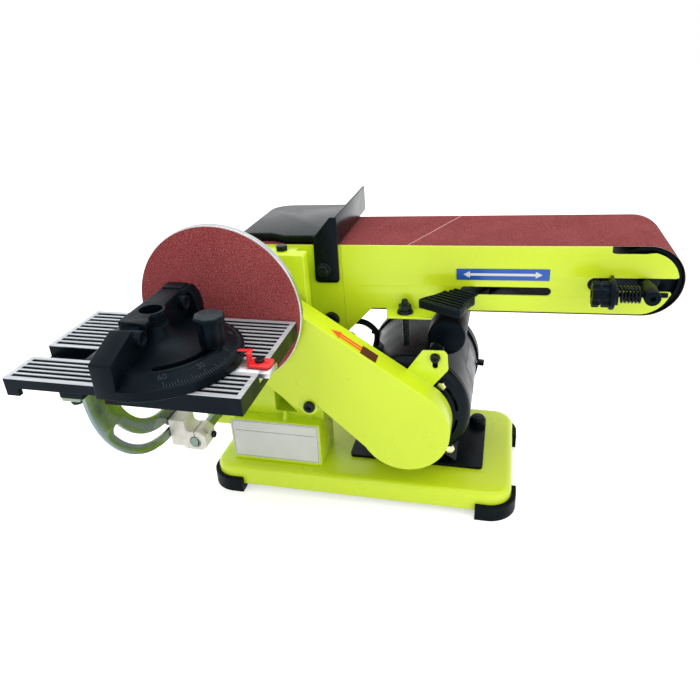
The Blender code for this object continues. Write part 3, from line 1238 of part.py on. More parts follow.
def build_table_clamp():
    """The block that the table's trunnion is bolted to, on its support rod."""
    left = TRUNNION_X + TRUNNION_PLATE / 2 + FIT
    right = -0.0240
    outline = [
        (left, 0.0230), (-0.0440, 0.0230), (-0.0435, 0.0130), (-0.0400, 0.0110),
        (-0.0300, 0.0120), (right, 0.0070), (right, -0.0055), (-0.0290, -0.0090),
        (-0.0450, -0.0090), (-0.0480, -0.0060), (left, -0.0060),
    ]
    clamp = flat("clamp_block", [outline], 0.021, "die_cast", MACHINE, (0, -0.0105, ROD_Z),
                 FRONT_VIEW)
    angle = math.radians(TILT_BOLT_ANGLE)
    y = TILT_Y + TRUNNION_SLOT * math.cos(angle)
    z = TILT_Z + TRUNNION_SLOT * math.sin(angle)
    cutters = [
        cylinder("clamp_rod_bore", ROD_RADIUS + FIT, -0.03, 0.01, None, MACHINE,
                 (ROD_X, 0, ROD_Z), ALONG_Y, 20),
        cylinder("clamp_bolt_bore", 0.0033, left - 0.01, -0.0465, None, MACHINE, (0, y, z),
                 ALONG_X, 16),
        cylinder("set_screw_bore", 0.0022, ROD_X, right + 0.01, None, MACHINE,
                 (0, -0.0055, ROD_Z), ALONG_X, 12),
    ]
    cut(clamp, *cutters)
    finish(clamp, angle=30.0)
    start, end = -0.0210, 0.0655
    rod = turned("support_rod",
                 [(0, start), (ROD_RADIUS - 0.0006, start), (ROD_RADIUS, start + 0.0006),
                  (ROD_RADIUS, end), (0, end)], "zinc", MACHINE, (ROD_X, 0, ROD_Z), steps=24)
    finish(rod)
    face = TRUNNION_X - TRUNNION_PLATE / 2 - FIT
    bolt = hex_bolt("tilt_bolt", 0.011, 0.005, 0.0030, 0.014, "black_paint", MACHINE,
                    (face - 0.005, y, z), ALONG_X)
    finish(bolt)
    screw = socket_screw("rod_set_screw", 0.0034, 0.0028, 0.0019, 0.0040, "black_paint", MACHINE,
                         (right + FIT + 0.0028, -0.0055, ROD_Z), (0, -math.pi / 2, 0))
    finish(screw)


# ---------------------------------------------------------------- mitre gauge
def build_gauge():
    rest = TABLE_TOP + FIT
    pivot = (GAUGE_X, SLOT_Y)
    half = SLOT_WIDTH / 2 - 0.0005
    bar = block("mitre_bar", (GAUGE_X - 0.063, SLOT_Y - half, TABLE_TOP - SLOT_DEPTH + FIT),
                (GAUGE_X + 0.091, SLOT_Y + half, TABLE_TOP), "aluminium", SLIDE)
    pin = cylinder("gauge_pin", 0.005, TABLE_TOP - 0.002, 0.0010, None, SLIDE, (*pivot, 0),
                   TOP_VIEW, 16)
    stud_hole = cylinder("bar_threads", 0.0023, -0.016, 0.010, None, SLIDE, (KNOB_X, SLOT_Y, 0),
                         TOP_VIEW, 12)
    pointer_hole = cylinder("pointer_thread", 0.0017, -0.015, 0.010, None, SLIDE,
                            (POINTER_X + 0.0135, SLOT_Y + 0.004, 0), TOP_VIEW, 12)
    cut(join(bar, pin), stud_hole, pointer_hole)
    finish(bar, angle=30.0)
    sector = arc(pivot, GAUGE_RADIUS, -90, 90, 20)
    sector += [(FENCE_LEFT + 0.004, SLOT_Y + GAUGE_RADIUS - 0.004),
               (FENCE_LEFT + 0.004, SLOT_Y - GAUGE_RADIUS + 0.004)]
    slot = arc_slot(pivot, GAUGE_SLOT, 0.0034, -64, 64, 14)
    bore = ring(pivot, 0.0053, 16)
    top = 0.0010
    head = flat("mitre_head", [sector, slot, bore], top - rest, "black_plastic", HEAD,
                (0, 0, (top + rest) / 2))
    y0, y1 = FENCE_FRONT, SLOT_Y + 0.063
    wall = [
        (y0, rest), (y1, rest), (y1, 0.0200), (y1 - 0.003, 0.0230), (-0.0310, 0.0230),
        (-0.0310, 0.0330), (-0.1120, 0.0330), (-0.1120, 0.0280), (y0 + 0.002, 0.0190),
        (y0, 0.0170),
    ]
    fence = flat("mitre_fence", [wall], FENCE_THICK, None, HEAD,
                 (GAUGE_X - FENCE_THICK / 2, 0, 0), SIDE_VIEW)
    deck = block("mitre_deck", (-0.0355, -0.1120, top - 0.001), (-0.008, -0.0310, 0.0330), None,
                 HEAD)
    bosses = [
        cylinder(name, 0.006, -0.010, -0.004, None, HEAD, (0, y, 0.0200), ALONG_X, 16)
        for name, y in (("mitre_boss_near", -0.1050), ("mitre_boss_far", -0.0380))
    ]
    web = flat("mitre_web", [arc(pivot, 0.026, -90, 90, 12)], 0.020, None, HEAD,
               (0.003, 0.0, 0.0100))
    cutters = [
        cylinder("mitre_hole", 0.0095, 0.0050, 0.050, None, HEAD, (-0.0235, -0.0820, 0),
                 TOP_VIEW, 24),
        cylinder("mitre_pin_bore", 0.0053, -0.010, 0.0016, None, HEAD, (*pivot, 0), TOP_VIEW,
                 16),
    ]
    cut(join(head, fence, deck, web, *bosses), *cutters)
    finish(head, angle=30.0)
    build_gauge_knob(top)
    build_pointer(rest)


def build_gauge_knob(top):
    low, high = 0.0050, 0.0340
    place = (KNOB_X, SLOT_Y, 0)
    knob = flat("mitre_knob", [lobed(GAUGE_KNOB - 0.0007, 0.0007, 5, 6)], high - low,
                "black_plastic", GRIP, (KNOB_X, SLOT_Y, (low + high) / 2))
    collar = cylinder("knob_collar", 0.0085, top + FIT, low + 0.001, None, GRIP, place, TOP_VIEW)
    stud = cylinder("knob_stud", 0.0020, -0.0145, low + 0.002, None, GRIP, place, TOP_VIEW, 12)
    join(knob, collar, stud)
    finish(knob, angle=40.0)


def build_pointer(rest):
    """The red pointer: a plate screwed on the bar's end, stepped up over the head's rim."""
    tip_low, tip_high = 0.0016, 0.0030
    plate_high = rest + 0.0022
    x, y = POINTER_X, SLOT_Y
    base = [(x, y - 0.0035), (x + 0.0225, y - 0.0035), (x + 0.0245, y + 0.0005),
            (x + 0.0245, y + 0.0080), (x + 0.0085, y + 0.0115), (x, y + 0.0115)]
    tip = [(x + 0.0027, y + 0.0035), (x + 0.0040, y + 0.0185), (x - 0.0105, y + 0.0190),
           (x - 0.0110, y + 0.0175), (x - 0.0005, y + 0.0135), (x + 0.0002, y + 0.0035)]
    pointer = flat("mitre_pointer", [base], plate_high - rest, "red_plastic", SLIDE,
                   (0, 0, (plate_high + rest) / 2))
    blade = flat("pointer_tip", [tip], tip_high - tip_low, None, SLIDE,
                 (0, 0, (tip_low + tip_high) / 2))
    riser = block("pointer_riser", (x + 0.0004, y + 0.0040, rest + 0.0003),
                  (x + 0.0025, y + 0.0110, tip_high - 0.0003), None, SLIDE)
    place = (x + 0.0135, y + 0.004, 0)
    hole = cylinder("pointer_hole", 0.0022, -0.02, 0.02, None, SLIDE, place, TOP_VIEW, 12)
    cut(join(pointer, blade, riser), hole)
    finish(pointer, angle=30.0)
    head = 0.0022
    screw = socket_screw("pointer_screw", 0.0036, head, 0.0014, 0.0075, "black_paint", SLIDE,
                         (*place[:2], plate_high + FIT + head), (math.pi, 0, 0))
    finish(screw)


# ---------------------------------------------------------------- assembly
clear_scene()
SANDER = make_collection("belt_disc_sander")
CUTTERS = make_collection("cutters")
PAINT = make_paints()
AXIS_PLACES = {}
MACHINE = make_axis(
    "machine",
    (-(TABLE_LEFT + RIGHTMOST) / 2, -(FRONTMOST + REST_BACK) / 2, -FLOOR_Z))
SPINDLE = make_axis("spindle_axis", (0, 0, 0), MACHINE)
ROTOR = make_axis("motor_axis", (MOTOR_X, 0, MOTOR_Z), MACHINE)
ARM = make_axis("arm_axis", (0, 0, 0), MACHINE, (0, -ARM_REST_ANGLE, 0))
CARRIAGE = make_axis("carriage_axis", (YOKE_WEB, SLIDE_Y, 0), ARM)
IDLER = make_axis("idler_axis", (BELT_CENTRES, 0, 0), ARM)
LEVER = make_axis("lever_axis", (LEVER_U, SLIDE_Y, 0), ARM)
KNOB = make_axis("tracking_axis", (0.320, 0.052, 0), ARM)
TABLE = make_axis("table_axis", (0, TILT_Y, TILT_Z), MACHINE)
SLIDE = make_axis("mitre_slide_axis", (GAUGE_X, SLOT_Y, TABLE_TOP), MACHINE)
HEAD = make_axis("mitre_head_axis", (GAUGE_X, SLOT_Y, TABLE_TOP), MACHINE)
GRIP = make_axis("mitre_knob_axis", (KNOB_X, SLOT_Y, TABLE_TOP), MACHINE)

build_base()
build_casting()
build_table_clamp()
build_motor()
build_spindle()
build_drive()
build_cover()
build_arm()
build_idler()
build_table()
build_gauge()
bpy.context.view_layer.update()
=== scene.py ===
"""Looks of the bench belt and disc sander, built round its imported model.

Places are in metres from the point where the spindle's axis meets the sanding disc's
face: +X along the belt arm, +Y away from the operator and +Z up. That point is found
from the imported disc, and the arm's pieces lie in the same places turned up by its tilt.
"""

import logging
import math
from dataclasses import dataclass, field, replace
from enum import Enum
from typing import Sequence

import bmesh
import bpy
from mathutils import Matrix, Vector


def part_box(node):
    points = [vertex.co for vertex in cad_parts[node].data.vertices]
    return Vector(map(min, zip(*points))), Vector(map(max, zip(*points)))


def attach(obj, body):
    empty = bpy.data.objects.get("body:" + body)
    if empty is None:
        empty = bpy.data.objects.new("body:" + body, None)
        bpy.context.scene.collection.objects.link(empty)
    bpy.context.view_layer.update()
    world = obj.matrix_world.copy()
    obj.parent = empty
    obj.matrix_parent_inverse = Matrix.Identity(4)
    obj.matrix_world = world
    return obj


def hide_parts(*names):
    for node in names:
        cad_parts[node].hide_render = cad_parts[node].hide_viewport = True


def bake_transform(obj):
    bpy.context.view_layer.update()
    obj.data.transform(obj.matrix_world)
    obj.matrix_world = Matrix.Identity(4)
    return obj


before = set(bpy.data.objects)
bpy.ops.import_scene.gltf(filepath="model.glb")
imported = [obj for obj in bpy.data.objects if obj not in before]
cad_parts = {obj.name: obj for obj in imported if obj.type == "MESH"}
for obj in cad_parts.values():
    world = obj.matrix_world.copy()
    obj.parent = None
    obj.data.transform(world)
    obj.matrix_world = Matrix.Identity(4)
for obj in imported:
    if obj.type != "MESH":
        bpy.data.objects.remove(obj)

LOG = logging.getLogger("sander")
Point = tuple[float, float]
Outline = list[Point]
Socket = bpy.types.NodeSocket
Value = "Socket | float | Sequence[float]"


def srgb(code: str) -> tuple[float, float, float, float]:
    """Turns a written colour into the linear one that the shader takes.

    Args:
        code: The colour as six hexadecimal digits.

    Returns:
        Red, green, blue and alpha.
    """
    parts = [int(code[i:i + 2], 16) / 255 for i in (0, 2, 4)]
    red, green, blue = (
        part / 12.92 if part <= 0.04045 else ((part + 0.055) / 1.055) ** 2.4 for part in parts)
    return red, green, blue, 1.0


def spindle_place() -> Matrix:
    """Finds the middle of the sanding disc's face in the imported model."""
    low, high = (Vector(corner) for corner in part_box("sanding_disc"))
    middle = (low + high) / 2
    return Matrix.Translation((middle.x, low.y, middle.z))


ARM_TILT = math.radians(1.5)
WELD = 1e-6
SHARP_ANGLE = math.radians(32)
SENSOR = 36.0
FIT = 0.0003
MOTOR_AXIS = (0.161, -0.121)
COVER_BOLT = (0.0718, -0.1006)
HOOK_SCREW = (0.1864, -0.0533)
ROD = (-0.035, -0.131)
ROD_RADIUS = 0.0055
DRUM_GAP = 0.36011
LEVER_PIVOT = (0.243, 0.130)
MACHINE = spindle_place()
ARM = MACHINE @ Matrix.Rotation(-ARM_TILT, 4, "Y")


# ---------------------------------------------------------------- finishes
class Lay(Enum):
    """The way a surface's fine marks run, as how far each axis is stretched."""

    EVEN = (1.0, 1.0, 1.0)
    ALONG_X = (0.04, 1.0, 1.0)


class Nodes:
    """Makes the nodes of one material and joins them."""

    def __init__(self, name: str) -> None:
        """Starts a material.

        Args:
            name: The material's name.
        """
        self.material = bpy.data.materials.new(name)
        self.material.use_nodes = True
        self.tree = self.material.node_tree
        self.shader = self.tree.nodes["Principled BSDF"]
        self.place = self.add("ShaderNodeTexCoord").outputs["Object"]

    def add(self, kind: str, settings: dict | None = None, **inputs: Value) -> bpy.types.Node:
        """Adds a node.

        Args:
            kind: Blender's name for the type of node.
            settings: Values for the node's own options.
            **inputs: A value or another node's socket for each input, its spaces as underscores.

        Returns:
            The node.
        """
        node = self.tree.nodes.new(kind)
        for name, value in (settings or {}).items():
            setattr(node, name, value)
        for name, value in inputs.items():
            self.feed(node.inputs[name.replace("_", " ")], value)
        return node

    def feed(self, socket: Socket, value: Value) -> None:
        """Joins a socket to another, or sets its value."""
        if isinstance(value, bpy.types.NodeSocket):
            self.tree.links.new(value, socket)
        else:
            socket.default_value = value

    def stretched(self, lay: Lay) -> Socket:
        """Gives coordinates along which the fine marks run the chosen way."""
        if lay is Lay.EVEN:
            return self.place
        return self.add("ShaderNodeMapping", Vector=self.place, Scale=lay.value).outputs[0]

    def noise(self, size: float, detail: float = 2.0, lay: Lay = Lay.EVEN) -> Socket:
        """Gives cloudy noise from 0 to 1.

        Args:
            size: Width of one cloud, in metres.
            detail: Number of finer layers.
            lay: The way the clouds are drawn out.

        Returns:
            The socket that holds the noise.
        """
        made = self.add("ShaderNodeTexNoise", Vector=self.stretched(lay), Scale=1 / size,
                        Detail=detail)
        return made.outputs["Fac"]

    def cells(self, size: float) -> Socket:
        """Gives the distance from the middle of the nearest of many small cells."""
        made = self.add("ShaderNodeTexVoronoi", Vector=self.place, Scale=1 / size)
        return made.outputs["Distance"]

    def height(self) -> Socket:
        """Gives the height above the floor, in metres."""
        return self.add("ShaderNodeSeparateXYZ", Vector=self.place).outputs[2]

    def span(self, value: Socket, low: float, high: float, start: float = 0.0,
             end: float = 1.0) -> Socket:
        """Maps a range of a value to another range, with a smooth step between its ends.

        Args:
            value: The socket to map.
            low: The value that gives start.
            high: The value that gives end.
            start: The result at and under low.
            end: The result at and over high.

        Returns:
            The socket that holds the result.
        """
        made = self.add("ShaderNodeMapRange", {"interpolation_type": "SMOOTHSTEP"}, Value=value)
        for name, number in (("From Min", low), ("From Max", high), ("To Min", start),
                             ("To Max", end)):
            made.inputs[name].default_value = number
        return made.outputs[0]

    def math(self, operation: str, first: Value, second: Value = 0.0) -> Socket:
        """Works out one sum."""
        made = self.add("ShaderNodeMath", {"operation": operation})
        self.feed(made.inputs[0], first)
        self.feed(made.inputs[1], second)
        return made.outputs[0]

    def mix(self, amount: Value, first: Value, second: Value) -> Socket:
        """Mixes two colours."""
        made = self.add("ShaderNodeMix", {"data_type": "RGBA"})
        # A mix node keeps its sockets for numbers and vectors before those for colours.
        self.feed(made.inputs[0], amount)
        self.feed(made.inputs[6], first)
        self.feed(made.inputs[7], second)
        return made.outputs[2]

    def bump(self, height: Socket, depth: float, under: Socket | None = None) -> Socket:
        """Raises the surface by a height.

        Args:
            height: The socket that holds the height, from 0 to 1.
            depth: How high 1 stands, in metres.
            under: The normal of a coarser shape below this one.

        Returns:
            The socket that holds the bumped normal.
        """
        made = self.add("ShaderNodeBump", Height=height, Distance=depth, Strength=1.0)
        if under:
            self.feed(made.inputs["Normal"], under)
        return made.outputs[0]

    def softened(self, width: float) -> Socket:
        """Gives the normal of the surface with its edges rounded over."""
        return self.add("ShaderNodeBevel", {"samples": 4}, Radius=width).outputs[0]

    def edges(self, soft: Socket) -> Socket:
        """Gives 1 along the sharp edges, and 0 away from them."""
        true = self.add("ShaderNodeNewGeometry").outputs["Normal"]
        both = self.add("ShaderNodeVectorMath", {"operation": "DOT_PRODUCT"})
        self.feed(both.inputs[0], soft)
        self.feed(both.inputs[1], true)
        return self.span(both.outputs["Value"], 0.995, 0.86)


@dataclass(frozen=True)
class Finish:
    """A surface finish with its grain, its marks of use and its lighter edges: partly rubbed wear
    and partly painted edge highlight.
    """

    name: str
    colour: str
    second: str
    blotch: float = 0.02
    lay: Lay = Lay.EVEN
    metallic: float = 0.0
    roughness: tuple[float, float] = (0.3, 0.4)
    specular: float = 0.5
    grain: float = 0.001
    depth: float = 0.00002
    edge_highlight_and_wear: str = ""
    edge_highlight_and_wear_share: float = 0.5
    edge: float = 0.0006
    coat: float = 0.0
    tint: str = "FFFFFF"

    def material(self) -> bpy.types.Material:
        """Builds the finish as a material, once.

        Returns:
            The material.
        """
        made = bpy.data.materials.get(self.name)
        if made:
            return made
        nodes = Nodes(self.name)
        soft = nodes.softened(self.edge)
        colour = self.colours(nodes)
        # Lighter colour mixed in patches along the edges: painted edge highlight, partly rubbed
        # wear too.
        if self.edge_highlight_and_wear:
            patches = nodes.span(nodes.noise(0.012, 3), 0.32, 0.62, self.edge_highlight_and_wear_share * 0.35,
                                 self.edge_highlight_and_wear_share)
            highlit_and_rubbed_edges = nodes.math("MULTIPLY", nodes.edges(soft), patches)
            colour = nodes.mix(highlit_and_rubbed_edges, colour, srgb(self.edge_highlight_and_wear))
        shader = nodes.shader
        nodes.feed(shader.inputs["Base Color"], colour)
        patchy = nodes.noise(self.blotch * 0.6, 4, self.lay)
        nodes.feed(shader.inputs["Roughness"], nodes.span(patchy, 0.3, 0.7, *self.roughness))
        nodes.feed(shader.inputs["Normal"], self.relief(nodes, soft))
        nodes.feed(shader.inputs["Metallic"], self.metal(nodes))
        shader.inputs["Specular IOR Level"].default_value = self.specular
        shader.inputs["Specular Tint"].default_value = srgb(self.tint)
        shader.inputs["Coat Weight"].default_value = self.coat
        shader.inputs["Coat Roughness"].default_value = 0.12
        return nodes.material

    def colours(self, nodes: Nodes) -> Socket:
        """Gives the two colours in soft patches."""
        patch = nodes.span(nodes.noise(self.blotch, 3, self.lay), 0.35, 0.65)
        return nodes.mix(patch, srgb(self.colour), srgb(self.second))

    def relief(self, nodes: Nodes, soft: Socket) -> Socket:
        """Gives the fine grain as a bump over the rounded edges."""
        return nodes.bump(nodes.noise(self.grain, 2, self.lay), self.depth, soft)

    def metal(self, nodes: Nodes) -> Value:
        """Gives how far the surface is bare metal."""
        return self.metallic


@dataclass(frozen=True)
class Grit(Finish):
    """Bonded abrasive: small dark and light grains standing on a cloth backing."""

    light: str = "B5706B"
    dark: str = "662327"

    def colours(self, nodes: Nodes) -> Socket:
        """Gives the red ground with its dark gaps and its light grains."""
        ground = Finish.colours(self, nodes)
        gaps = nodes.span(nodes.noise(self.grain * 1.7, 2), 0.36, 0.60, 0.25, 1.0)
        ground = nodes.mix(gaps, srgb(self.dark), ground)
        grains = nodes.span(nodes.noise(self.grain, 1), 0.55, 0.70, 0.0, 0.75)
        return nodes.mix(grains, ground, srgb(self.light))

    def relief(self, nodes: Nodes, soft: Socket) -> Socket:
        """Gives the standing grains as a bump."""
        return nodes.bump(nodes.cells(self.grain), self.depth, soft)


@dataclass(frozen=True)
class Milled(Finish):
    """A painted casting whose top alone is milled to bare metal."""

    bare: str = "DADDE0"
    bare_second: str = "C3C7CB"
    level: float = 0.0

    def milled(self, nodes: Nodes) -> Socket:
        """Gives 1 on the milled top and 0 below it."""
        return nodes.span(nodes.height(), self.level - 0.0007, self.level - 0.0004)

    def colours(self, nodes: Nodes) -> Socket:
        """Gives bare metal with cutter marks on the top, and paint below."""
        marks = nodes.span(nodes.noise(0.0016, 3, Lay.ALONG_X), 0.35, 0.65)
        bare = nodes.mix(marks, srgb(self.bare), srgb(self.bare_second))
        return nodes.mix(self.milled(nodes), Finish.colours(self, nodes), bare)

    def metal(self, nodes: Nodes) -> Value:
        """Gives bare metal on the top only."""
        return nodes.math("MULTIPLY", self.milled(nodes), 0.40)


# The lighter edge colour given to each finish below is painted edge highlight, partly rubbed wear
# too.
LIME = Finish("lime_powder_coat", "CFE722", "CCE31F", 0.09, roughness=(0.26, 0.32),
              grain=0.0012, depth=0.000008, edge_highlight_and_wear="ECF782", edge=0.0011, coat=0.2)
BLACK_PAINT = Finish("black_enamel", "070B0F", "0B1014", 0.03, roughness=(0.24, 0.36),
                     specular=0.16, grain=0.0009, depth=0.00001, edge_highlight_and_wear="2A343A",
                     edge_highlight_and_wear_share=0.4, tint="C4DDEB")
REST_PAINT = Finish("black_rest_enamel", "0A0E12", "0E1317", 0.05, roughness=(0.20, 0.28),
                    specular=0.40, grain=0.0009, depth=0.000008, edge_highlight_and_wear="2C363C",
                    edge_highlight_and_wear_share=0.4, tint="D4E6F0")
BLACK_PLASTIC = Finish("black_moulding", "060B10", "0A1016", 0.02, roughness=(0.34, 0.46),
                       specular=0.11, grain=0.0006, depth=0.00002, edge_highlight_and_wear="26323A",
                       edge_highlight_and_wear_share=0.5, tint="B4D4EA")
GREY_CAP = Finish("dark_grey_moulding", "1C272C", "243136", 0.006, roughness=(0.4, 0.5),
                  specular=0.2, grain=0.0006, depth=0.00002, edge_highlight_and_wear="44545A")
BOLT = Finish("blackened_bolt", "090E12", "10161A", 0.004, roughness=(0.20, 0.30),
              specular=0.2, grain=0.0006, depth=0.00001, edge_highlight_and_wear="45525A", edge_highlight_and_wear_share=0.6)
RUBBER = Finish("black_rubber", "060A0D", "0A0F12", 0.015, roughness=(0.46, 0.60),
                specular=0.10, grain=0.0006, depth=0.00003, edge_highlight_and_wear="20282C", tint="C4DDEB")
ALUMINIUM = Finish("machined_aluminium", "BFC2C6", "D3D5D8", 0.02, Lay.ALONG_X, 1.0,
                   (0.26, 0.40), 0.5, 0.0005, 0.000008, edge_highlight_and_wear="F2F3F4")
STEEL = Finish("ground_steel", "A9ACB0", "BDC0C3", 0.02, Lay.ALONG_X, 1.0, (0.22, 0.36),
               0.5, 0.0004, 0.000006, edge_highlight_and_wear="E6E7E8")
DARK_STEEL = Finish("oiled_spring_steel", "16191D", "23272C", 0.01, Lay.EVEN, 1.0,
                    (0.2, 0.3), 0.5, 0.0006, 0.000008)
ZINC = Finish("bright_zinc", "82957A", "7B8B94", 0.030, Lay.EVEN, 1.0, (0.18, 0.30), 0.5,
              0.0010, 0.000010, edge_highlight_and_wear="C9D2C4")
ZINC_BOLT = Finish("yellow_zinc", "D6D2A8", "E2E0C2", 0.004, Lay.EVEN, 1.0, (0.18, 0.28),
                   0.5, 0.0008, 0.000008, edge_highlight_and_wear="F4F2E2")
DIE_CAST = Finish("blasted_die_casting", "D5D2C9", "E0DDD4", 0.008, Lay.EVEN, 0.30,
                  (0.42, 0.55), 0.4, 0.0009, 0.00003, edge_highlight_and_wear="F2F1EC")
MILLED_TABLE = Milled("milled_table", "060C12", "0A1118", 0.03, roughness=(0.30, 0.42),
                      specular=0.12, grain=0.0009, depth=0.00001, edge_highlight_and_wear="2B343B",
                      edge_highlight_and_wear_share=0.35, edge=0.0005, tint="B4D4EA",
                      level=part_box("table")[1][2])
GRIT = Grit("red_abrasive", "9C4144", "A54A4B", 0.05, roughness=(0.85, 0.95), specular=0.15,
            grain=0.0006, depth=0.00022, light="D0857E", dark="4E171B")
BELT_GRIT = Grit("red_belt_abrasive", "88393B", "904042", 0.05, roughness=(0.8, 0.9),
                 specular=0.12, grain=0.0006, depth=0.00018, light="B46C66", dark="4A1517")
BACKING = Finish("abrasive_backing", "C9A79C", "D2B4A8", 0.01, roughness=(0.7, 0.85),
                 specular=0.2, grain=0.0005, depth=0.00003)
# The belt's inner cloth is coloured near black: painted shade inside the belt loop.
SHADED_BELT_CLOTH = Finish("belt_backing_painted_shade", "16100F", "1E1716", 0.008, roughness=(0.7, 0.85),
                    specular=0.15, grain=0.0007, depth=0.00005)
RED_PLASTIC = Finish("red_moulding", "E4191D", "EC2526", 0.01, roughness=(0.26, 0.36),
                     grain=0.0007, depth=0.00001, edge_highlight_and_wear="F56A62")
WHITE_FILM = Finish("white_film", "CDCFCB", "D5D6D3", 0.03, roughness=(0.34, 0.42),
                    grain=0.002, depth=0.000004)
INK = Finish("black_ink", "1B1D1E", "242627", 0.01, roughness=(0.4, 0.5), grain=0.001,
             depth=0.000004, specular=0.3)
BLUE_FILM = Finish("blue_film", "0E4FAC", "1354B0", 0.02, roughness=(0.28, 0.36),
                   grain=0.002, depth=0.000004)
RED_FILM = replace(BLUE_FILM, name="orange_film", colour="E2461C", second="E54E20")
YELLOW_FILM = replace(BLUE_FILM, name="yellow_film", colour="EFC52E", second="F2CB38")
MAROON_FILM = replace(BLUE_FILM, name="maroon_film", colour="4A1613", second="571B17",
                      roughness=(0.3, 0.4))
GREY_FILM = replace(MAROON_FILM, name="grey_film", colour="3B4145", second="444B4F",
                    specular=0.4)


def dress(finish: Finish, *nodes: str) -> None:
    """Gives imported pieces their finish.

    Args:
        finish: The finish that they take.
        *nodes: The names of the pieces.
    """
    for name in nodes:
        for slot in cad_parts[name].material_slots:
            slot.material = finish.material()
        LOG.info("%s takes %s", name, finish.name)


# ---------------------------------------------------------------- outlines
def arc(centre: Point, radius: float, start: float, end: float, steps: int = 24) -> Outline:
    """Gives points on an arc.

    Args:
        centre: The arc's centre.
        radius: Its radius.
        start: The angle of its first point, in degrees.
        end: The angle of its last point, in degrees.
        steps: The number of its parts.

    Returns:
        The points, one more than the steps.
    """
    turns = (math.radians(start + (end - start) * i / steps) for i in range(steps + 1))
    return [(centre[0] + radius * math.cos(a), centre[1] + radius * math.sin(a)) for a in turns]


def ring(centre: Point, radius: float, steps: int = 32) -> Outline:
    """Gives a full circle of points."""
    return arc(centre, radius, 0, 360, steps)[:-1]


def rectangle(x0: float, x1: float, y0: float, y1: float) -> Outline:
    """Gives the corners of a rectangle."""
    return [(x0, y0), (x1, y0), (x1, y1), (x0, y1)]


def eased(points: Outline, radius: float, closed: bool = True, steps: int = 4) -> Outline:
    """Rounds the corners of an outline.

    Args:
        points: The outline's corners.
        radius: How far from each corner the rounding starts.
        closed: Whether the last point joins the first.
        steps: The number of parts in each rounding.

    Returns:
        The rounded outline.
    """
    found: Outline = []
    for i, point in enumerate(points):
        if not closed and i in (0, len(points) - 1):
            found.append(point)
            continue
        corner = Vector(point)
        back = Vector(points[i - 1]) - corner
        ahead = Vector(points[(i + 1) % len(points)]) - corner
        first = corner + back.normalized() * min(radius, back.length * 0.45)
        last = corner + ahead.normalized() * min(radius, ahead.length * 0.45)
        for k in range(steps + 1):
            t = k / steps
            place = first * (1 - t) ** 2 + corner * (2 * t * (1 - t)) + last * t ** 2
            found.append((place.x, place.y))
    return found


def arc_slot(centre: Point, radius: float, half: float, start: float, end: float) -> Outline:
    """Gives a slot with round ends that follows an arc.

    Args:
        centre: The arc's centre.
        radius: The radius of the slot's middle line.
        half: Half the slot's width.
        start: The angle of its first end, in degrees.
        end: The angle of its other end, in degrees.

    Returns:
        The slot's outline.
    """
    tip = arc(centre, radius, end, end, 1)[0]
    tail = arc(centre, radius, start, start, 1)[0]
    outline = arc(centre, radius + half, start, end, 40)
    outline += arc(tip, half, end, end + 180, 10)[1:-1]
    outline += arc(centre, radius - half, end, start, 40)
    return outline + arc(tail, half, start + 180, start + 360, 10)[1:-1]


def straight_slot(x0: float, x1: float, y: float, half: float) -> Outline:
    """Gives a straight slot with round ends, its ends' centres at x0 and x1."""
    return arc((x1, y), half, -90, 90, 12) + arc((x0, y), half, 90, 270, 12)


def loop_round(length: float, radius: float, steps: int = 48) -> Outline:
    """Gives the outline of a belt round two equal circles this far apart along X."""
    return arc((length, 0), radius, -90, 90, steps) + arc((0, 0), radius, 90, 270, steps)


def lobed(centre: Point, radius: float, depth: float, lobes: int, steps: int) -> Outline:
    """Gives the outline of a fluted grip.

    Args:
        centre: The grip's centre.
        radius: The middle radius.
        depth: How far the lobes stand above and below it.
        lobes: The number of lobes.
        steps: The number of points in each lobe.

    Returns:
        The outline.
    """
    found = []
    for i in range(lobes * steps):
        turn = math.tau * i / (lobes * steps)
        reach = radius + depth * math.cos(lobes * turn)
        found.append((centre[0] + reach * math.cos(turn), centre[1] + reach * math.sin(turn)))
    return found


# ---------------------------------------------------------------- shapes
class View(Enum):
    """The plane that a flat outline lies in, as the rows of its turning matrix."""

    TOP = ((1, 0, 0), (0, 1, 0), (0, 0, 1))
    FRONT = ((1, 0, 0), (0, 0, 1), (0, 1, 0))
    SIDE = ((0, 0, 1), (1, 0, 0), (0, 1, 0))


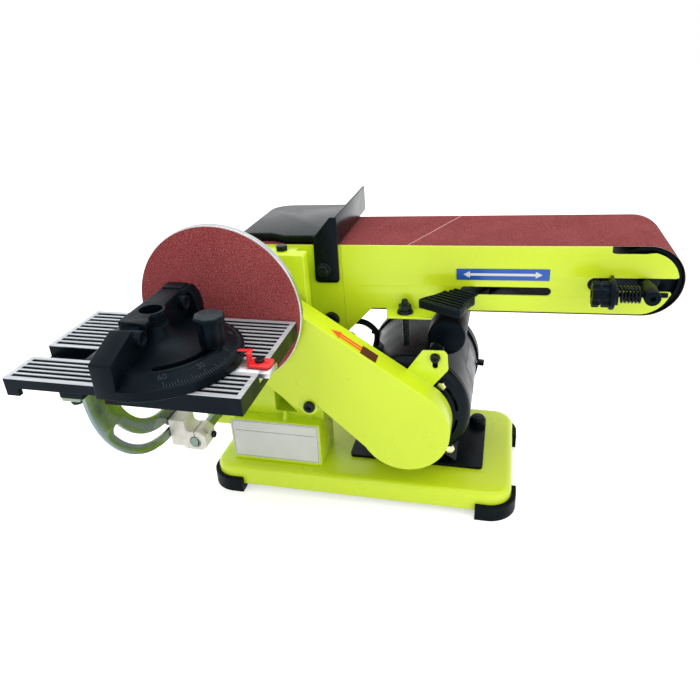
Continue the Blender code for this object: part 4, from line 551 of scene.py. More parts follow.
class Shape:
    """A mesh under construction, in places measured from the spindle."""

    def __init__(self, place: Matrix = MACHINE) -> None:
        """Starts an empty mesh.

        Args:
            place: Where the shape's own origin and axes lie.
        """
        self.place = place
        self.mesh = bmesh.new()

    def take(self, part: bmesh.types.BMesh, turn: Matrix) -> "Shape":
        """Adds a part to the mesh, and frees it.

        Args:
            part: The part.
            turn: How it is turned and moved.

        Returns:
            This shape.
        """
        bmesh.ops.remove_doubles(part, verts=part.verts, dist=WELD)
        bmesh.ops.transform(part, matrix=turn, verts=part.verts)
        bmesh.ops.recalc_face_normals(part, faces=part.faces)
        holder = bpy.data.meshes.new("part")
        part.to_mesh(holder)
        part.free()
        self.mesh.from_mesh(holder)
        bpy.data.meshes.remove(holder)
        return self

    def take_evaluated(self, guide: bpy.types.Object, turn: Matrix) -> "Shape":
        """Adds the finished form of an object, and removes the object."""
        if guide.name not in bpy.context.scene.collection.objects:
            bpy.context.scene.collection.objects.link(guide)
        graph = bpy.context.evaluated_depsgraph_get()
        mesh = bpy.data.meshes.new_from_object(guide.evaluated_get(graph))
        part = bmesh.new()
        part.from_mesh(mesh)
        bpy.data.objects.remove(guide)
        bpy.data.meshes.remove(mesh)
        return self.take(part, turn)

    def plate(self, outlines: Sequence[Outline], low: float, high: float,
              view: View = View.TOP, edge: float = 0.0003) -> "Shape":
        """Adds a plate with rounded rims.

        Args:
            outlines: Its edge, and then its holes.
            low: The near face's place along the view.
            high: The far face's place.
            view: The plane that the outlines lie in.
            edge: The radius of its rims.

        Returns:
            This shape.
        """
        curve = bpy.data.curves.new("outline", "CURVE")
        curve.dimensions = "2D"
        curve.fill_mode = "BOTH"
        curve.extrude = (high - low) / 2 - edge
        curve.bevel_depth = edge
        curve.bevel_resolution = 1
        curve.offset = -edge
        for outline in outlines:
            spline = curve.splines.new("POLY")
            spline.points.add(len(outline) - 1)
            for point, place in zip(spline.points, outline):
                point.co = (*place, 0.0, 1.0)
            spline.use_cyclic_u = True
        guide = bpy.data.objects.new("outline", curve)
        lift = Matrix.Translation((0, 0, (low + high) / 2))
        return self.take_evaluated(guide, Matrix(view.value).to_4x4() @ lift)

    def block(self, low: Sequence[float], high: Sequence[float], edge: float = 0.0003,
              turn: Matrix = Matrix.Identity(4)) -> "Shape":
        """Adds a box with rounded edges.

        Args:
            low: Its lowest corner.
            high: Its highest corner.
            edge: The width of its rounding.
            turn: How it is turned and moved afterwards.

        Returns:
            This shape.
        """
        middle = (Vector(low) + Vector(high)) / 2
        size = Vector(high) - Vector(low)
        part = bmesh.new()
        fit = Matrix.Translation(middle) @ Matrix.Diagonal((*size, 1.0))
        bmesh.ops.create_cube(part, size=1.0, matrix=fit)
        if edge:
            bmesh.ops.bevel(part, geom=part.edges[:], offset=edge, segments=2, profile=0.5,
                            affect="EDGES")
        return self.take(part, turn)

    def turned(self, profile: Outline, centre: Point = (0, 0), view: View = View.FRONT,
               steps: int = 96, sweep: Point = (0, 360)) -> "Shape":
        """Adds a turned form.

        Args:
            profile: Points of (radius, place along the axis).
            centre: The axis's place in the view's plane.
            view: The view that looks along the axis.
            steps: The number of sides.
            sweep: The angles that the form starts and ends at, in degrees.

        Returns:
            This shape.
        """
        closed = min(radius for radius, _ in profile) > 0
        whole = sweep[1] - sweep[0] >= 360
        part = bmesh.new()
        rows = []
        for i in range(steps if whole else steps + 1):
            turn = math.radians(sweep[0] + (sweep[1] - sweep[0]) * i / steps)
            rows.append([part.verts.new((centre[0] + r * math.cos(turn),
                                         centre[1] + r * math.sin(turn), h))
                         for r, h in profile])
        last = len(profile) if closed else len(profile) - 1
        for i in range(steps):
            near, far = rows[i], rows[(i + 1) % len(rows)]
            for j in range(last):
                k = (j + 1) % len(profile)
                corners = [near[j], near[k], far[k], far[j]]
                if profile[j][0] == 0:
                    corners.pop()
                if profile[k][0] == 0:
                    corners.pop(1)
                if len(set(corners)) > 2:
                    part.faces.new(corners)
        if not whole:
            part.faces.new(rows[0])
            part.faces.new(rows[-1])
        return self.take(part, Matrix(view.value).to_4x4())

    def bar(self, centre: Point, radius: float, start: float, end: float,
            view: View = View.FRONT, steps: int = 24, rim: float = 0.0) -> "Shape":
        """Adds a round bar, or the form of a drilled hole.

        Args:
            centre: The axis's place in the view's plane.
            radius: The bar's radius.
            start: The place along the axis where it starts.
            end: The place where it ends.
            view: The view that looks along the axis.
            steps: The number of sides.
            rim: The width of the slope round its start.

        Returns:
            This shape.
        """
        slope = [(radius - rim, start), (radius, start + math.copysign(rim, end - start))]
        rows = [(0, start), *(slope if rim else slope[:1]), (radius, end), (0, end)]
        return self.turned(rows, centre, view, steps)

    def tube(self, points: Sequence[Sequence[float]], radius: float) -> "Shape":
        """Adds a round wire through points."""
        curve = bpy.data.curves.new("wire", "CURVE")
        curve.dimensions = "3D"
        curve.bevel_depth = radius
        curve.bevel_resolution = 4
        curve.use_fill_caps = True
        spline = curve.splines.new("POLY")
        spline.points.add(len(points) - 1)
        for point, place in zip(spline.points, points):
            point.co = (*place, 1.0)
        return self.take_evaluated(bpy.data.objects.new("wire", curve), Matrix.Identity(4))

    def figure(self, text: str, size: float, height: float, turn: Matrix) -> "Shape":
        """Adds raised figures of a scale.

        Args:
            text: The figures.
            size: Their height along the surface.
            height: How far they stand up.
            turn: Where they lie.

        Returns:
            This shape.
        """
        curve = bpy.data.curves.new("figures", "FONT")
        curve.body = text
        curve.size = size
        curve.extrude = height
        curve.resolution_u = 3
        curve.align_x = "CENTER"
        curve.align_y = "CENTER"
        return self.take_evaluated(bpy.data.objects.new("figures", curve), turn)

    def swept(self, path: Sequence[tuple[Point, Point]], profile: Outline) -> "Shape":
        """Adds a closed profile of (outward, up) carried along a path of (place, outward)."""
        part = bmesh.new()
        rows = [[part.verts.new((x + nx * out, y + ny * out, up)) for out, up in profile]
                for (x, y), (nx, ny) in path]
        for row, after in zip(rows, rows[1:]):
            for i, vert in enumerate(row):
                j = (i + 1) % len(row)
                part.faces.new((vert, row[j], after[j], after[i]))
        part.faces.new(rows[0])
        part.faces.new(rows[-1])
        return self.take(part, Matrix.Identity(4))

    def pan(self, outline: Outline, face: float, depth: float, wall: float, edge: float,
            view: View = View.TOP) -> "Shape":
        """Adds a pressed pan.

        Args:
            outline: Its outer edge.
            face: The place of its outer face along the view.
            depth: How far its walls run from the face, signed.
            wall: The sheet's thickness.
            edge: The radius of the fold between face and walls.
            view: The plane that the face lies in.

        Returns:
            This shape.
        """
        part = bmesh.new()
        top = [part.verts.new((x, y, face)) for x, y in outline]
        low = [part.verts.new((x, y, face + depth)) for x, y in outline]
        part.faces.new(top)
        for i in range(len(outline)):
            j = (i + 1) % len(outline)
            part.faces.new((low[i], low[j], top[j], top[i]))
        bmesh.ops.recalc_face_normals(part, faces=part.faces)
        outward = 1 if depth < 0 else -1
        if part.faces[0].normal.z * outward < 0:
            bmesh.ops.reverse_faces(part, faces=part.faces)
        mesh = bpy.data.meshes.new("pan")
        part.to_mesh(mesh)
        part.free()
        guide = bpy.data.objects.new("pan", mesh)
        fold = guide.modifiers.new("fold", "BEVEL")
        fold.width = edge
        fold.segments = 6
        fold.limit_method = "ANGLE"
        fold.angle_limit = math.radians(60)
        sheet = guide.modifiers.new("sheet", "SOLIDIFY")
        sheet.thickness = wall
        sheet.offset = -1.0
        return self.take_evaluated(guide, Matrix(view.value).to_4x4())

    def cut(self, tool: "Shape") -> "Shape":
        """Cuts another shape's form out of this one, and frees the other."""
        body, cutter = self.loose(), tool.loose()
        bpy.context.scene.collection.objects.link(cutter)
        made = body.modifiers.new("cut", "BOOLEAN")
        made.operation = "DIFFERENCE"
        made.solver = "EXACT"
        made.use_self = True
        made.object = cutter
        self.mesh = bmesh.new()
        self.take_evaluated(body, Matrix.Identity(4))
        bpy.data.objects.remove(cutter)
        return self

    def loose(self) -> bpy.types.Object:
        """Gives the mesh so far as an object of its own, and frees the mesh."""
        mesh = bpy.data.meshes.new("loose")
        self.mesh.to_mesh(mesh)
        self.mesh.free()
        return bpy.data.objects.new("loose", mesh)

    def piece(self, name: str, finish: Finish, body: str, slot: str,
              *replaced: str) -> bpy.types.Object:
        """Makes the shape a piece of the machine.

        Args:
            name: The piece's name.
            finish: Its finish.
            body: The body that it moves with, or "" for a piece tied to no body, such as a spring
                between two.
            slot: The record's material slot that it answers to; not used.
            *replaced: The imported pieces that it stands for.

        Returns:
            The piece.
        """
        self.mesh.transform(self.place)
        mesh = bpy.data.meshes.new(name)
        self.mesh.to_mesh(mesh)
        self.mesh.free()
        mesh.shade_smooth()
        mesh.set_sharp_from_angle(angle=SHARP_ANGLE)
        mesh.materials.append(finish.material())
        made = bpy.data.objects.new(name, mesh)
        bpy.context.scene.collection.objects.link(made)
        if body:
            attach(made, body)
        if replaced:
            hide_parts(*replaced)
        LOG.info("%s rides on %s in %s", name, body, finish.name)
        return made


# ---------------------------------------------------------------- fasteners
class Head(Enum):
    """The kinds of bolt head."""

    HEX = "hex"
    SOCKET = "socket"
    CROSS = "cross"


@dataclass(frozen=True)
class Fastener:
    """A bolt or screw that seats on a face."""

    node: str
    body: str
    centre: Point
    face: float
    seat: float
    radius: float
    stem: float = 0.0018
    length: float = 0.008
    head: Head = Head.SOCKET
    view: View = View.FRONT
    on_arm: bool = False
    finish: Finish = BOLT
    slot: str = "black_paint"
    washer: float = 0.0

    def build(self) -> None:
        """Makes the head, its drive and its stem."""
        shape = Shape(ARM if self.on_arm else MACHINE)
        way = 1 if self.seat > self.face else -1
        depth = abs(self.seat - self.face)
        rim = min(0.0009, depth * 0.35)
        if self.head is Head.HEX:
            corners = ring(self.centre, self.radius, 6)
            shape.plate([corners], min(self.face, self.seat), max(self.face, self.seat),
                        self.view, rim * 0.8)
            reach = self.radius * 0.80
            start, end = self.face - way * 0.00005, self.face + way * 0.0006
            shape.turned([(0, start), (reach, start), (reach + 0.0002, end), (0, end)],
                         self.centre, self.view, 32)
        else:
            rows = [(0, self.face), (self.radius - rim, self.face),
                    (self.radius - rim * 0.3, self.face + way * rim * 0.3),
                    (self.radius, self.face + way * rim), (self.radius, self.seat),
                    (0, self.seat)]
            shape.turned(rows, self.centre, self.view, 48)
            shape.cut(self.drive(way, depth))
        if self.washer:
            shape.bar(self.centre, self.washer, self.seat - way * 0.0010, self.seat, self.view,
                      48, 0.0004)
        shape.bar(self.centre, self.stem, self.seat - way * 0.0002,
                  self.seat + way * self.length, self.view, 16)
        shape.piece(f"{self.node}_made", self.finish, self.body, self.slot, self.node)

    def drive(self, way: int, depth: float) -> Shape:
        """Gives the recess that the key or driver fits in."""
        tool = Shape()
        ends = sorted((self.face - way * 0.001, self.face + way * depth * 0.6))
        if self.head is Head.SOCKET:
            return tool.plate([ring(self.centre, self.radius * 0.52, 6)], *ends, self.view, 0.0)
        x, y = self.centre
        arm, half = self.radius * 0.58, self.radius * 0.15
        cross = [(arm, half), (half, half), (half, arm)]
        for _ in range(3):
            cross += [(-b, a) for a, b in cross[-3:]]
        return tool.plate([[(x + a, y + b) for a, b in cross]], *ends, self.view, 0.0)


# ---------------------------------------------------------------- base and casting
@dataclass
class Base:
    """The pressed tray and its four rubber corners."""

    left: float = -0.0420
    right: float = 0.2625
    front: float = 0.015
    back: float = 0.170
    top: float = -0.185
    height: float = 0.020
    corner: float = 0.022
    crease: float = 0.007
    sheet: float = 0.002
    floor: float = -0.213
    foot_step: float = 0.0120
    foot_leg: float = 0.0115
    foot_wall: float = 0.0045

    def build(self) -> None:
        """Makes the tray and its feet."""
        x0, x1, y0, y1, r = self.left, self.right, self.front, self.back, self.corner
        outline = arc((x1 - r, y0 + r), r, -90, 0, 16) + arc((x1 - r, y1 - r), r, 0, 90, 16)
        outline += arc((x0 + r, y1 - r), r, 90, 180, 16) + arc((x0 + r, y0 + r), r, 180, 270, 16)
        tray = Shape().pan(outline, self.top, -self.height, self.sheet, self.crease)
        tray.piece("tray", LIME, "machine", "lime_paint", "base_tray")
        for node, x, y, start in (("foot_front_left", x0 + r, y0 + r, 180),
                                  ("foot_front_right", x1 - r, y0 + r, 270),
                                  ("foot_back_right", x1 - r, y1 - r, 0),
                                  ("foot_back_left", x0 + r, y1 - r, 90)):
            self.foot(node, (x, y), start)

    def foot(self, node: str, centre: Point, start: float) -> None:
        """Makes the rubber corner that clips over the tray's edge.

        Args:
            node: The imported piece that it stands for.
            centre: The middle of the tray's corner.
            start: The angle where the corner's bend starts, in degrees.
        """
        lip = self.top - self.height - FIT
        inner, outer = -self.sheet - FIT, FIT + self.foot_wall
        high = self.top - self.foot_step
        profile = [(outer, self.floor), (outer, high - 0.0008), (outer - 0.0008, high),
                   (FIT, high), (FIT, lip), (inner, lip), (inner, lip + 0.006),
                   (inner - self.foot_wall, lip + 0.006), (inner - self.foot_wall, self.floor)]
        bend = arc(centre, self.corner, start, start + 90, 16)
        normals = arc((0, 0), 1.0, start, start + 90, 16)
        first, last, leg = normals[0], normals[-1], self.foot_leg
        path = [((bend[0][0] + first[1] * leg, bend[0][1] - first[0] * leg), first)]
        path += list(zip(bend, normals))
        path += [((bend[-1][0] - last[1] * leg, bend[-1][1] + last[0] * leg), last)]
        foot = Shape().swept(path, profile)
        foot.piece(f"{node}_rubber", RUBBER, "machine", "rubber", node)


@dataclass
class Casting:
    """The upright casting: a hollow foot, a ribbed column and its bearing bosses."""

    left: float = -0.022
    right: float = 0.0735
    box_front: float = 0.030
    box_back: float = 0.080
    box_low: float = -0.1847
    box_top: float = -0.1345
    wall: float = 0.005
    front: float = 0.044
    back: float = 0.070
    top: float = 0.0365
    column_right: float = 0.0668
    bearing: float = 0.0175
    column_bolt: Point = (0.0425, 0.0570)

    def build(self) -> None:
        """Makes the casting, its bolt and the bare plate on its foot."""
        self.casting()
        self.plate()
        Fastener("column_bolt", "machine", self.column_bolt, self.top + 0.0048,
                 self.top + FIT, 0.0056, 0.0025, 0.009, Head.HEX, View.TOP).build()
        dress(STEEL, "front_bearing", "rear_bearing")

    def casting(self) -> None:
        """Makes the column, the foot and the bosses, and cuts their hollows."""
        x0, x1, low = self.left, self.right, self.box_top - 0.010
        column = [(x0, low), (x1, low), (0.0780, -0.094), (0.0735, -0.070),
                  (self.column_right, -0.056), (self.column_right, self.top),
                  (-0.030, self.top), (-0.040, 0.024), (-0.040, -0.030)]
        cast = Shape().plate([eased(column, 0.0025)], self.front, self.back, View.FRONT, 0.0010)
        cast.block((x0, self.box_front, self.box_low), (x1, self.box_back, self.box_top), 0.0012)
        for radius, y0, y1 in ((self.bearing + 0.0065, 0.041, 0.068), (0.030, 0.068, 0.0797),
                               (0.0217, 0.070, 0.082)):
            cast.bar((0, 0), radius, y0, y1, steps=96, rim=0.0006)
        cast.bar(COVER_BOLT, 0.0075, 0.0383, 0.050, steps=40, rim=0.0006)
        z = ROD[1]
        boss = arc(ROD, 0.0115, 90, 270, 24)
        boss += [(x0 + 0.006, z - 0.0115), (x0 + 0.006, z + 0.0115)]
        cast.plate([boss], self.box_front, 0.075, View.FRONT, 0.0006)
        web = [(self.box_front + 0.002, self.box_top - 0.002), (0.046, self.box_top - 0.002),
               (0.046, self.box_top + 0.019)]
        cast.plate([web], 0.0340, 0.0380, View.SIDE, 0.0005)
        cast.cut(self.hollows())
        cast.piece("casting", LIME, "machine", "lime_paint", "pillar_casting")

    def hollows(self) -> Shape:
        """Gives the form of the casting's hollows, pockets and bores."""
        x0, x1, wall = self.left, self.right, self.wall
        tools = Shape().block((x0 + wall, self.box_front + wall, self.box_low - 0.01),
                              (x1 - wall, self.box_back - wall, self.box_top - wall), 0.0)
        for pocket in ([(0.0245, -0.130), (0.0475, -0.130), (0.0245, -0.104)],
                       [(0.030, -0.074), (0.050, -0.080), (0.054, -0.064), (0.022, -0.040),
                        (0.002, -0.044)],
                       [(-0.032, -0.034), (-0.032, 0.018), (-0.022, 0.026), (-0.022, -0.040)]):
            tools.plate([eased(pocket, 0.0015)], self.front - 0.005, self.back - wall,
                        View.FRONT, 0.0)
        tools.block((0.0560, 0.0575, -0.058), (0.0800, 0.0800, 0.050), 0.0)
        for radius, y0, y1 in ((self.bearing + FIT, 0.0, 0.0528),
                               (self.bearing + FIT, 0.0622, 0.2), (0.0127, 0.0, 0.2)):
            tools.bar((0, 0), radius, y0, y1, steps=96)
        tools.bar(ROD, ROD_RADIUS + FIT, 0.0, 0.068, steps=48)
        tools.bar(COVER_BOLT, 0.0028, 0.0, 0.052)
        return tools

    def plate(self) -> None:
        """Makes the bare plate with its printed frame and rule."""
        x0, x1 = self.left + 0.0015, self.right - 0.0015
        z0, z1, front = -0.1805, self.box_top - 0.0012, self.box_front - 0.0009
        film = eased(rectangle(x0, x1, z0, z1), 0.0012)
        Shape().plate([film], front + 0.00004, front + 0.0006, View.FRONT, 0.0001).piece(
            "plate_film", WHITE_FILM, "machine", "aluminium", "nameplate")
        frame_line = [eased(rectangle(x0 + a, x1 - a, z0 + a, z1 - a), 0.001)
                      for a in (0.0012, 0.0015)]
        marks = Shape().plate(frame_line, front - 0.00002, front + 0.0001, View.FRONT, 0.0)
        rule = z1 - 0.0125
        marks.plate([rectangle(x0 + 0.004, x1 - 0.004, rule, rule + 0.0004)],
                    front - 0.00002, front + 0.0001, View.FRONT, 0.0)
        marks.piece("plate_print", INK, "machine", "aluminium")


@dataclass
class DriveCover:
    """The pressed cover over the drive belt."""

    front: float = 0.012
    back: float = 0.038
    spindle: float = 0.043
    motor: float = 0.0423
    sheet: float = 0.002
    fold: float = 0.0026
    hub_hole: float = 0.019
    motor_reach: float = 0.04426
    spread_angle: float = 56.4
    spread_steps: int = 24

    def build(self) -> None:
        """Makes the cover with its tab and holes, its screws and its arrow."""
        outline = arc((0, 0), self.spindle, 15.5, 238.7, 64)
        outline += [(0.0584, -0.1046)] + arc((0.0705, -0.1015), 0.009, 200, 340, 20)
        outline += [(0.0799, -0.1007)]
        outline += arc(MOTOR_AXIS, self.motor, 209.7, 360, 44)
        for i in range(1, self.spread_steps + 1):
            share = i / self.spread_steps
            reach = self.motor + (self.motor_reach - self.motor) * share
            outline += arc(MOTOR_AXIS, reach, self.spread_angle * share, 360, 1)[:1]
        cover = Shape().pan(outline, self.front, self.back - self.front, self.sheet, self.fold,
                            View.FRONT)
        x, z = HOOK_SCREW
        tab = [(-0.0294, -0.0199), (-0.0049, -0.0335), (0.0121, -0.0119), (0.0109, 0.0036),
               (0.0081, 0.0074), (-0.0115, 0.0065)]
        tab = eased([(x + a, z + b) for a, b in tab], 0.0016)
        keyhole = arc(HOOK_SCREW, 0.0045, -56, 236, 32)
        keyhole += arc((x, z - 0.0087), 0.0025, 180, 360, 16)
        cover.cut(Shape().plate([ring((0, 0), self.hub_hole, 72)], 0.0, 0.030, View.FRONT, 0.0))
        cover.cut(Shape().plate([ring(COVER_BOLT, 0.0032)], 0.0, 0.030, View.FRONT, 0.0))
        cover.plate([tab, keyhole], self.back - self.sheet, self.back, View.FRONT, 0.0003)
        cover.piece("cover", LIME, "machine", "lime_paint", "belt_cover")
        Fastener("cover_bolt", "machine", COVER_BOLT, self.front - 0.0043, self.front - FIT,
                 0.0055, 0.0025, 0.036).build()
        Fastener("cover_hook_screw", "machine", HOOK_SCREW, self.back - self.sheet - 0.0033,
                 self.back - self.sheet - FIT, 0.0042, 0.0022, 0.014, Head.CROSS).build()
        self.arrow()

    def arrow(self) -> None:
        """Lays the film arrow that shows which way the belt runs on the top wall."""
        first = arc((0, 0), self.spindle, 15.5, 90, 1)[0]
        last = arc(MOTOR_AXIS, self.motor_reach, self.spread_angle, 90, 1)[0]
        along = (Vector(last) - Vector(first)).normalized()
        normal = Vector((-along.y, along.x))
        lift = normal * (Vector(first).dot(normal) + 0.0003)
        axes = Matrix(((along.x, 0, normal.x, lift.x), (0, 1, 0, 0.0),
                       (along.y, 0, normal.y, lift.y), (0, 0, 0, 1)))
        place = MACHINE @ axes
        start, end, y0, y1 = 0.0905, 0.1412, 0.0146, 0.0284
        middle, neck, block = (y0 + y1) / 2, start + 0.0115, end - 0.0165
        layers = ((0.0, 0.0046, YELLOW_FILM), (0.0011, 0.0036, RED_FILM),
                  (0.0080, 0.0007, YELLOW_FILM))
        for i, (inset, half, finish) in enumerate(layers):
            head = [(neck, y0 + inset * 1.2), (start + inset * 1.9, middle),
                    (neck, y1 - inset * 1.2)]
            shaft = [(neck, middle + half), (block, middle + half), (block, middle - half),
                     (neck, middle - half)]
            if i == 2:
                head = []
            Shape(place).plate([head + shaft], -0.0001, 0.00002 * (i + 1), edge=0.0).piece(
                f"arrow_layer_{i + 1}", finish, "machine", "arrow_film",
                *(["arrow_sticker"] if i == 0 else []))
        Shape(place).plate([rectangle(block, end, y0, y1)], -0.0001, 0.00009,
                           edge=0.0).piece("arrow_end", MAROON_FILM, "machine", "arrow_film")


# ---------------------------------------------------------------- motor
@dataclass
class Motor:
    """The motor's bell, shell and fan cover with the capacitor and the band round them."""

    radius: float = 0.058
    wall: float = 0.003
    shaft: float = 0.0076
    bell: float = 0.044
    front: float = 0.060
    back: float = 0.176
    cover: float = 0.1763
    capacitor: float = 0.0183
    capacitor_angle: float = 65.5

    def build(self) -> None:
        """Makes the motor's pieces."""
        self.shell()
        self.bell_end()
        self.fan_end()
        self.fittings()
        dress(BLACK_PAINT, "motor_mount")
        dress(RUBBER, "motor_cable", "drive_belt")
        dress(STEEL, "motor_rotor", "main_shaft")
        dress(ALUMINIUM, "spindle_pulley", "motor_pulley", "drive_drum")

    def round_motor(self, inside: float, angle: float) -> Point:
        """Gives the place this far inside the motor's edge, at this angle in degrees."""
        return arc(MOTOR_AXIS, self.radius - inside, angle, angle, 1)[0]

    def shell(self) -> None:
        """Makes the shell with its cable box and its rating film."""
        inner, edge = self.radius - self.wall, 0.0006
        rows = [(self.radius - edge, self.front + 0.0003), (self.radius, self.front + 0.0009),
                (self.radius, self.back - edge), (self.radius - edge, self.back),
                (inner, self.back), (inner, self.front + 0.0003)]
        shell = Shape().turned(rows, MOTOR_AXIS, steps=128)
        reach = self.radius - 0.005
        at = (MOTOR_AXIS[0] - 0.7071 * reach, 0.090, MOTOR_AXIS[1] + 0.7071 * reach)
        turn = Matrix.Translation(at) @ Matrix.Rotation(math.radians(-45), 4, "Y")
        shell.block((-0.009, -0.009, 0.002), (0.009, 0.009, 0.010), 0.0010, turn)
        shell.cut(Shape().block((-0.0052, -0.0052, 0.0045), (0.0052, 0.0052, 0.014), 0.0, turn))
        shell.piece("shell", BLACK_PAINT, "machine", "black_paint", "motor_shell")
        film = Shape().turned([(self.radius + 0.00015, 0.096), (self.radius + 0.00015, 0.142),
                               (self.radius - 0.0002, 0.142), (self.radius - 0.0002, 0.096)],
                              MOTOR_AXIS, steps=24, sweep=(-2, 30))
        film.piece("rating_film", GREY_FILM, "machine", "black_paint")

    def bell_end(self) -> None:
        """Makes the front bell with its lug and its air slots."""
        r, face, inner = self.radius, self.bell, self.radius - self.wall
        rows = [(self.shaft, face), (0.020, face), (r - 0.018, face + 0.0020)]
        rows += [(r - 0.006, face + 0.0060), (r - 0.0025, face + 0.0083),
                 (r - 0.0006, face + 0.0108), (r, face + 0.0125), (r, self.front - 0.0008),
                 (r - 0.0006, self.front), (inner, self.front), (inner, face + 0.014),
                 (r - 0.008, face + 0.009), (r - 0.020, face + 0.005), (0.018, face + 0.005),
                 (0.018, face + 0.010), (self.shaft, face + 0.010)]
        bell = Shape().turned(rows, MOTOR_AXIS, steps=128)
        slots = Shape()
        for a in range(8, 368, 45):
            slots.plate([arc_slot(MOTOR_AXIS, r - 0.012, 0.0013, a, a + 30)], 0.035, 0.065,
                        View.FRONT, 0.0)
        bell.cut(slots)
        x, z = HOOK_SCREW
        lug = [self.round_motor(0.0048, 73.6), self.round_motor(0.0040, 54.3),
               (x + 0.0061, z + 0.0033), (x, z + 0.0063), (x - 0.0064, z + 0.0033)]
        bell.plate([eased(lug, 0.0014)], 0.050, 0.060, View.FRONT, 0.0006)
        bell.piece("bell", BLACK_PAINT, "machine", "black_paint", "motor_bell")
        for node, inside, angle in (("bell_bolt_upper", 0.0120, 48.4),
                                    ("bell_bolt_lower", 0.0027, -43.2)):
            seat = face + 0.0017 + (0.0134 - inside) / 3
            Fastener(node, "machine", self.round_motor(inside, angle), seat - 0.0045, seat,
                     0.0046, 0.0021, 0.008, Head.HEX, finish=ZINC_BOLT, slot="zinc").build()

    def fan_end(self) -> None:
        """Makes the fan's cover with its air slots."""
        r, back, inner = self.radius, self.cover, self.radius - self.wall
        rows = [(0, back + 0.014), (r - 0.018, back + 0.014), (r - 0.008, back + 0.0118),
                (r - 0.005, back + 0.010), (r - 0.0022, back + 0.0072),
                (r - 0.0005, back + 0.004), (r - 0.0005, back), (inner, back),
                (r - 0.007, back + 0.008), (r - 0.019, back + 0.012), (0, back + 0.012)]
        cover = Shape().turned(rows, MOTOR_AXIS, steps=128)
        slots = Shape()
        for reach, half, step, first, last in ((0.45, 0.052, 60, 10, 56),
                                               (0.68, 0.035, 30, 3, 24)):
            for a in range(0, 360, step):
                slot = arc_slot(MOTOR_AXIS, r * reach, r * half, a + first, a + last)
                slots.plate([slot], back + 0.002, back + 0.02, View.FRONT, 0.0)
        cover.cut(slots)
        cover.piece("fan_guard", BLACK_PAINT, "machine", "black_paint", "fan_cover")

    def fittings(self) -> None:
        """Makes the capacitor and the band."""
        clear = self.radius + FIT
        at = arc(MOTOR_AXIS, clear + self.capacitor, self.capacitor_angle, 90, 1)[0]
        r = self.capacitor
        rows = [(0, 0.0735), (r - 0.0042, 0.0735), (r - 0.0018, 0.0740), (r - 0.0005, 0.0751),
                (r, 0.0768), (r, 0.1575), (r - 0.0006, 0.1590), (r - 0.002, 0.1600), (0, 0.1600)]
        Shape().turned(rows, at, steps=72).piece(
            "capacitor_case", BLACK_PLASTIC, "machine", "black_plastic", "capacitor")
        rows = [(clear, 0.163), (clear + 0.0014, 0.163), (clear + 0.0018, 0.1635),
                (clear + 0.0018, 0.1745), (clear + 0.0014, 0.175), (clear, 0.175)]
        band = Shape().turned(rows, MOTOR_AXIS, steps=128)
        for angle in (155, -4):
            x, z = self.round_motor(-0.0013, angle)
            turn = Matrix.Translation((x, 0.169, z)) @ Matrix.Rotation(
                -math.radians(angle), 4, "Y")
            band.block((0, -0.004, -0.0022), (0.007, 0.004, 0.0022), 0.0005, turn)
        band.piece("band", BLACK_PLASTIC, "machine", "black_paint", "motor_band")


# ---------------------------------------------------------------- disc
@dataclass
class Disc:
    """The sanding disc and the plate that it is stuck on."""

    radius: float = 0.075
    rim: float = 0.0008
    paper: float = 0.0008
    front: float = 0.0011
    back: float = 0.0073
    web: float = 0.0035
    hub: float = 0.016
    hub_depth: float = 0.005
    shaft: float = 0.0078

    def build(self) -> None:
        """Makes the abrasive with its pale cut edge, and the plate."""
        r = self.radius - self.rim
        Shape().turned([(0, 0), (r - 0.00005, 0), (r, 0.00022), (0, 0.00022)], steps=160).piece(
            "disc_grit", GRIT, "spindle", "abrasive", "sanding_disc")
        Shape().bar((0, 0), r, 0.00022, self.paper, steps=160).piece(
            "disc_backing", BACKING, "spindle", "abrasive")
        web, edge = self.front + self.web, 0.0005
        rows = [(0, self.front), (self.radius - edge, self.front),
                (self.radius, self.front + edge), (self.radius, self.back - edge),
                (self.radius - edge, self.back), (self.radius - 0.006, self.back),
                (self.radius - 0.0068, web), (self.hub + 0.001, web),
                (self.hub, web + 0.001), (self.hub, self.back + self.hub_depth - 0.0006),
                (self.hub - 0.0006, self.back + self.hub_depth),
                (self.shaft, self.back + self.hub_depth), (self.shaft, self.front + 0.002),
                (0, self.front + 0.002)]
        Shape().turned(rows, steps=160).piece(
            "disc_wheel", ALUMINIUM, "spindle", "aluminium", "disc_plate")


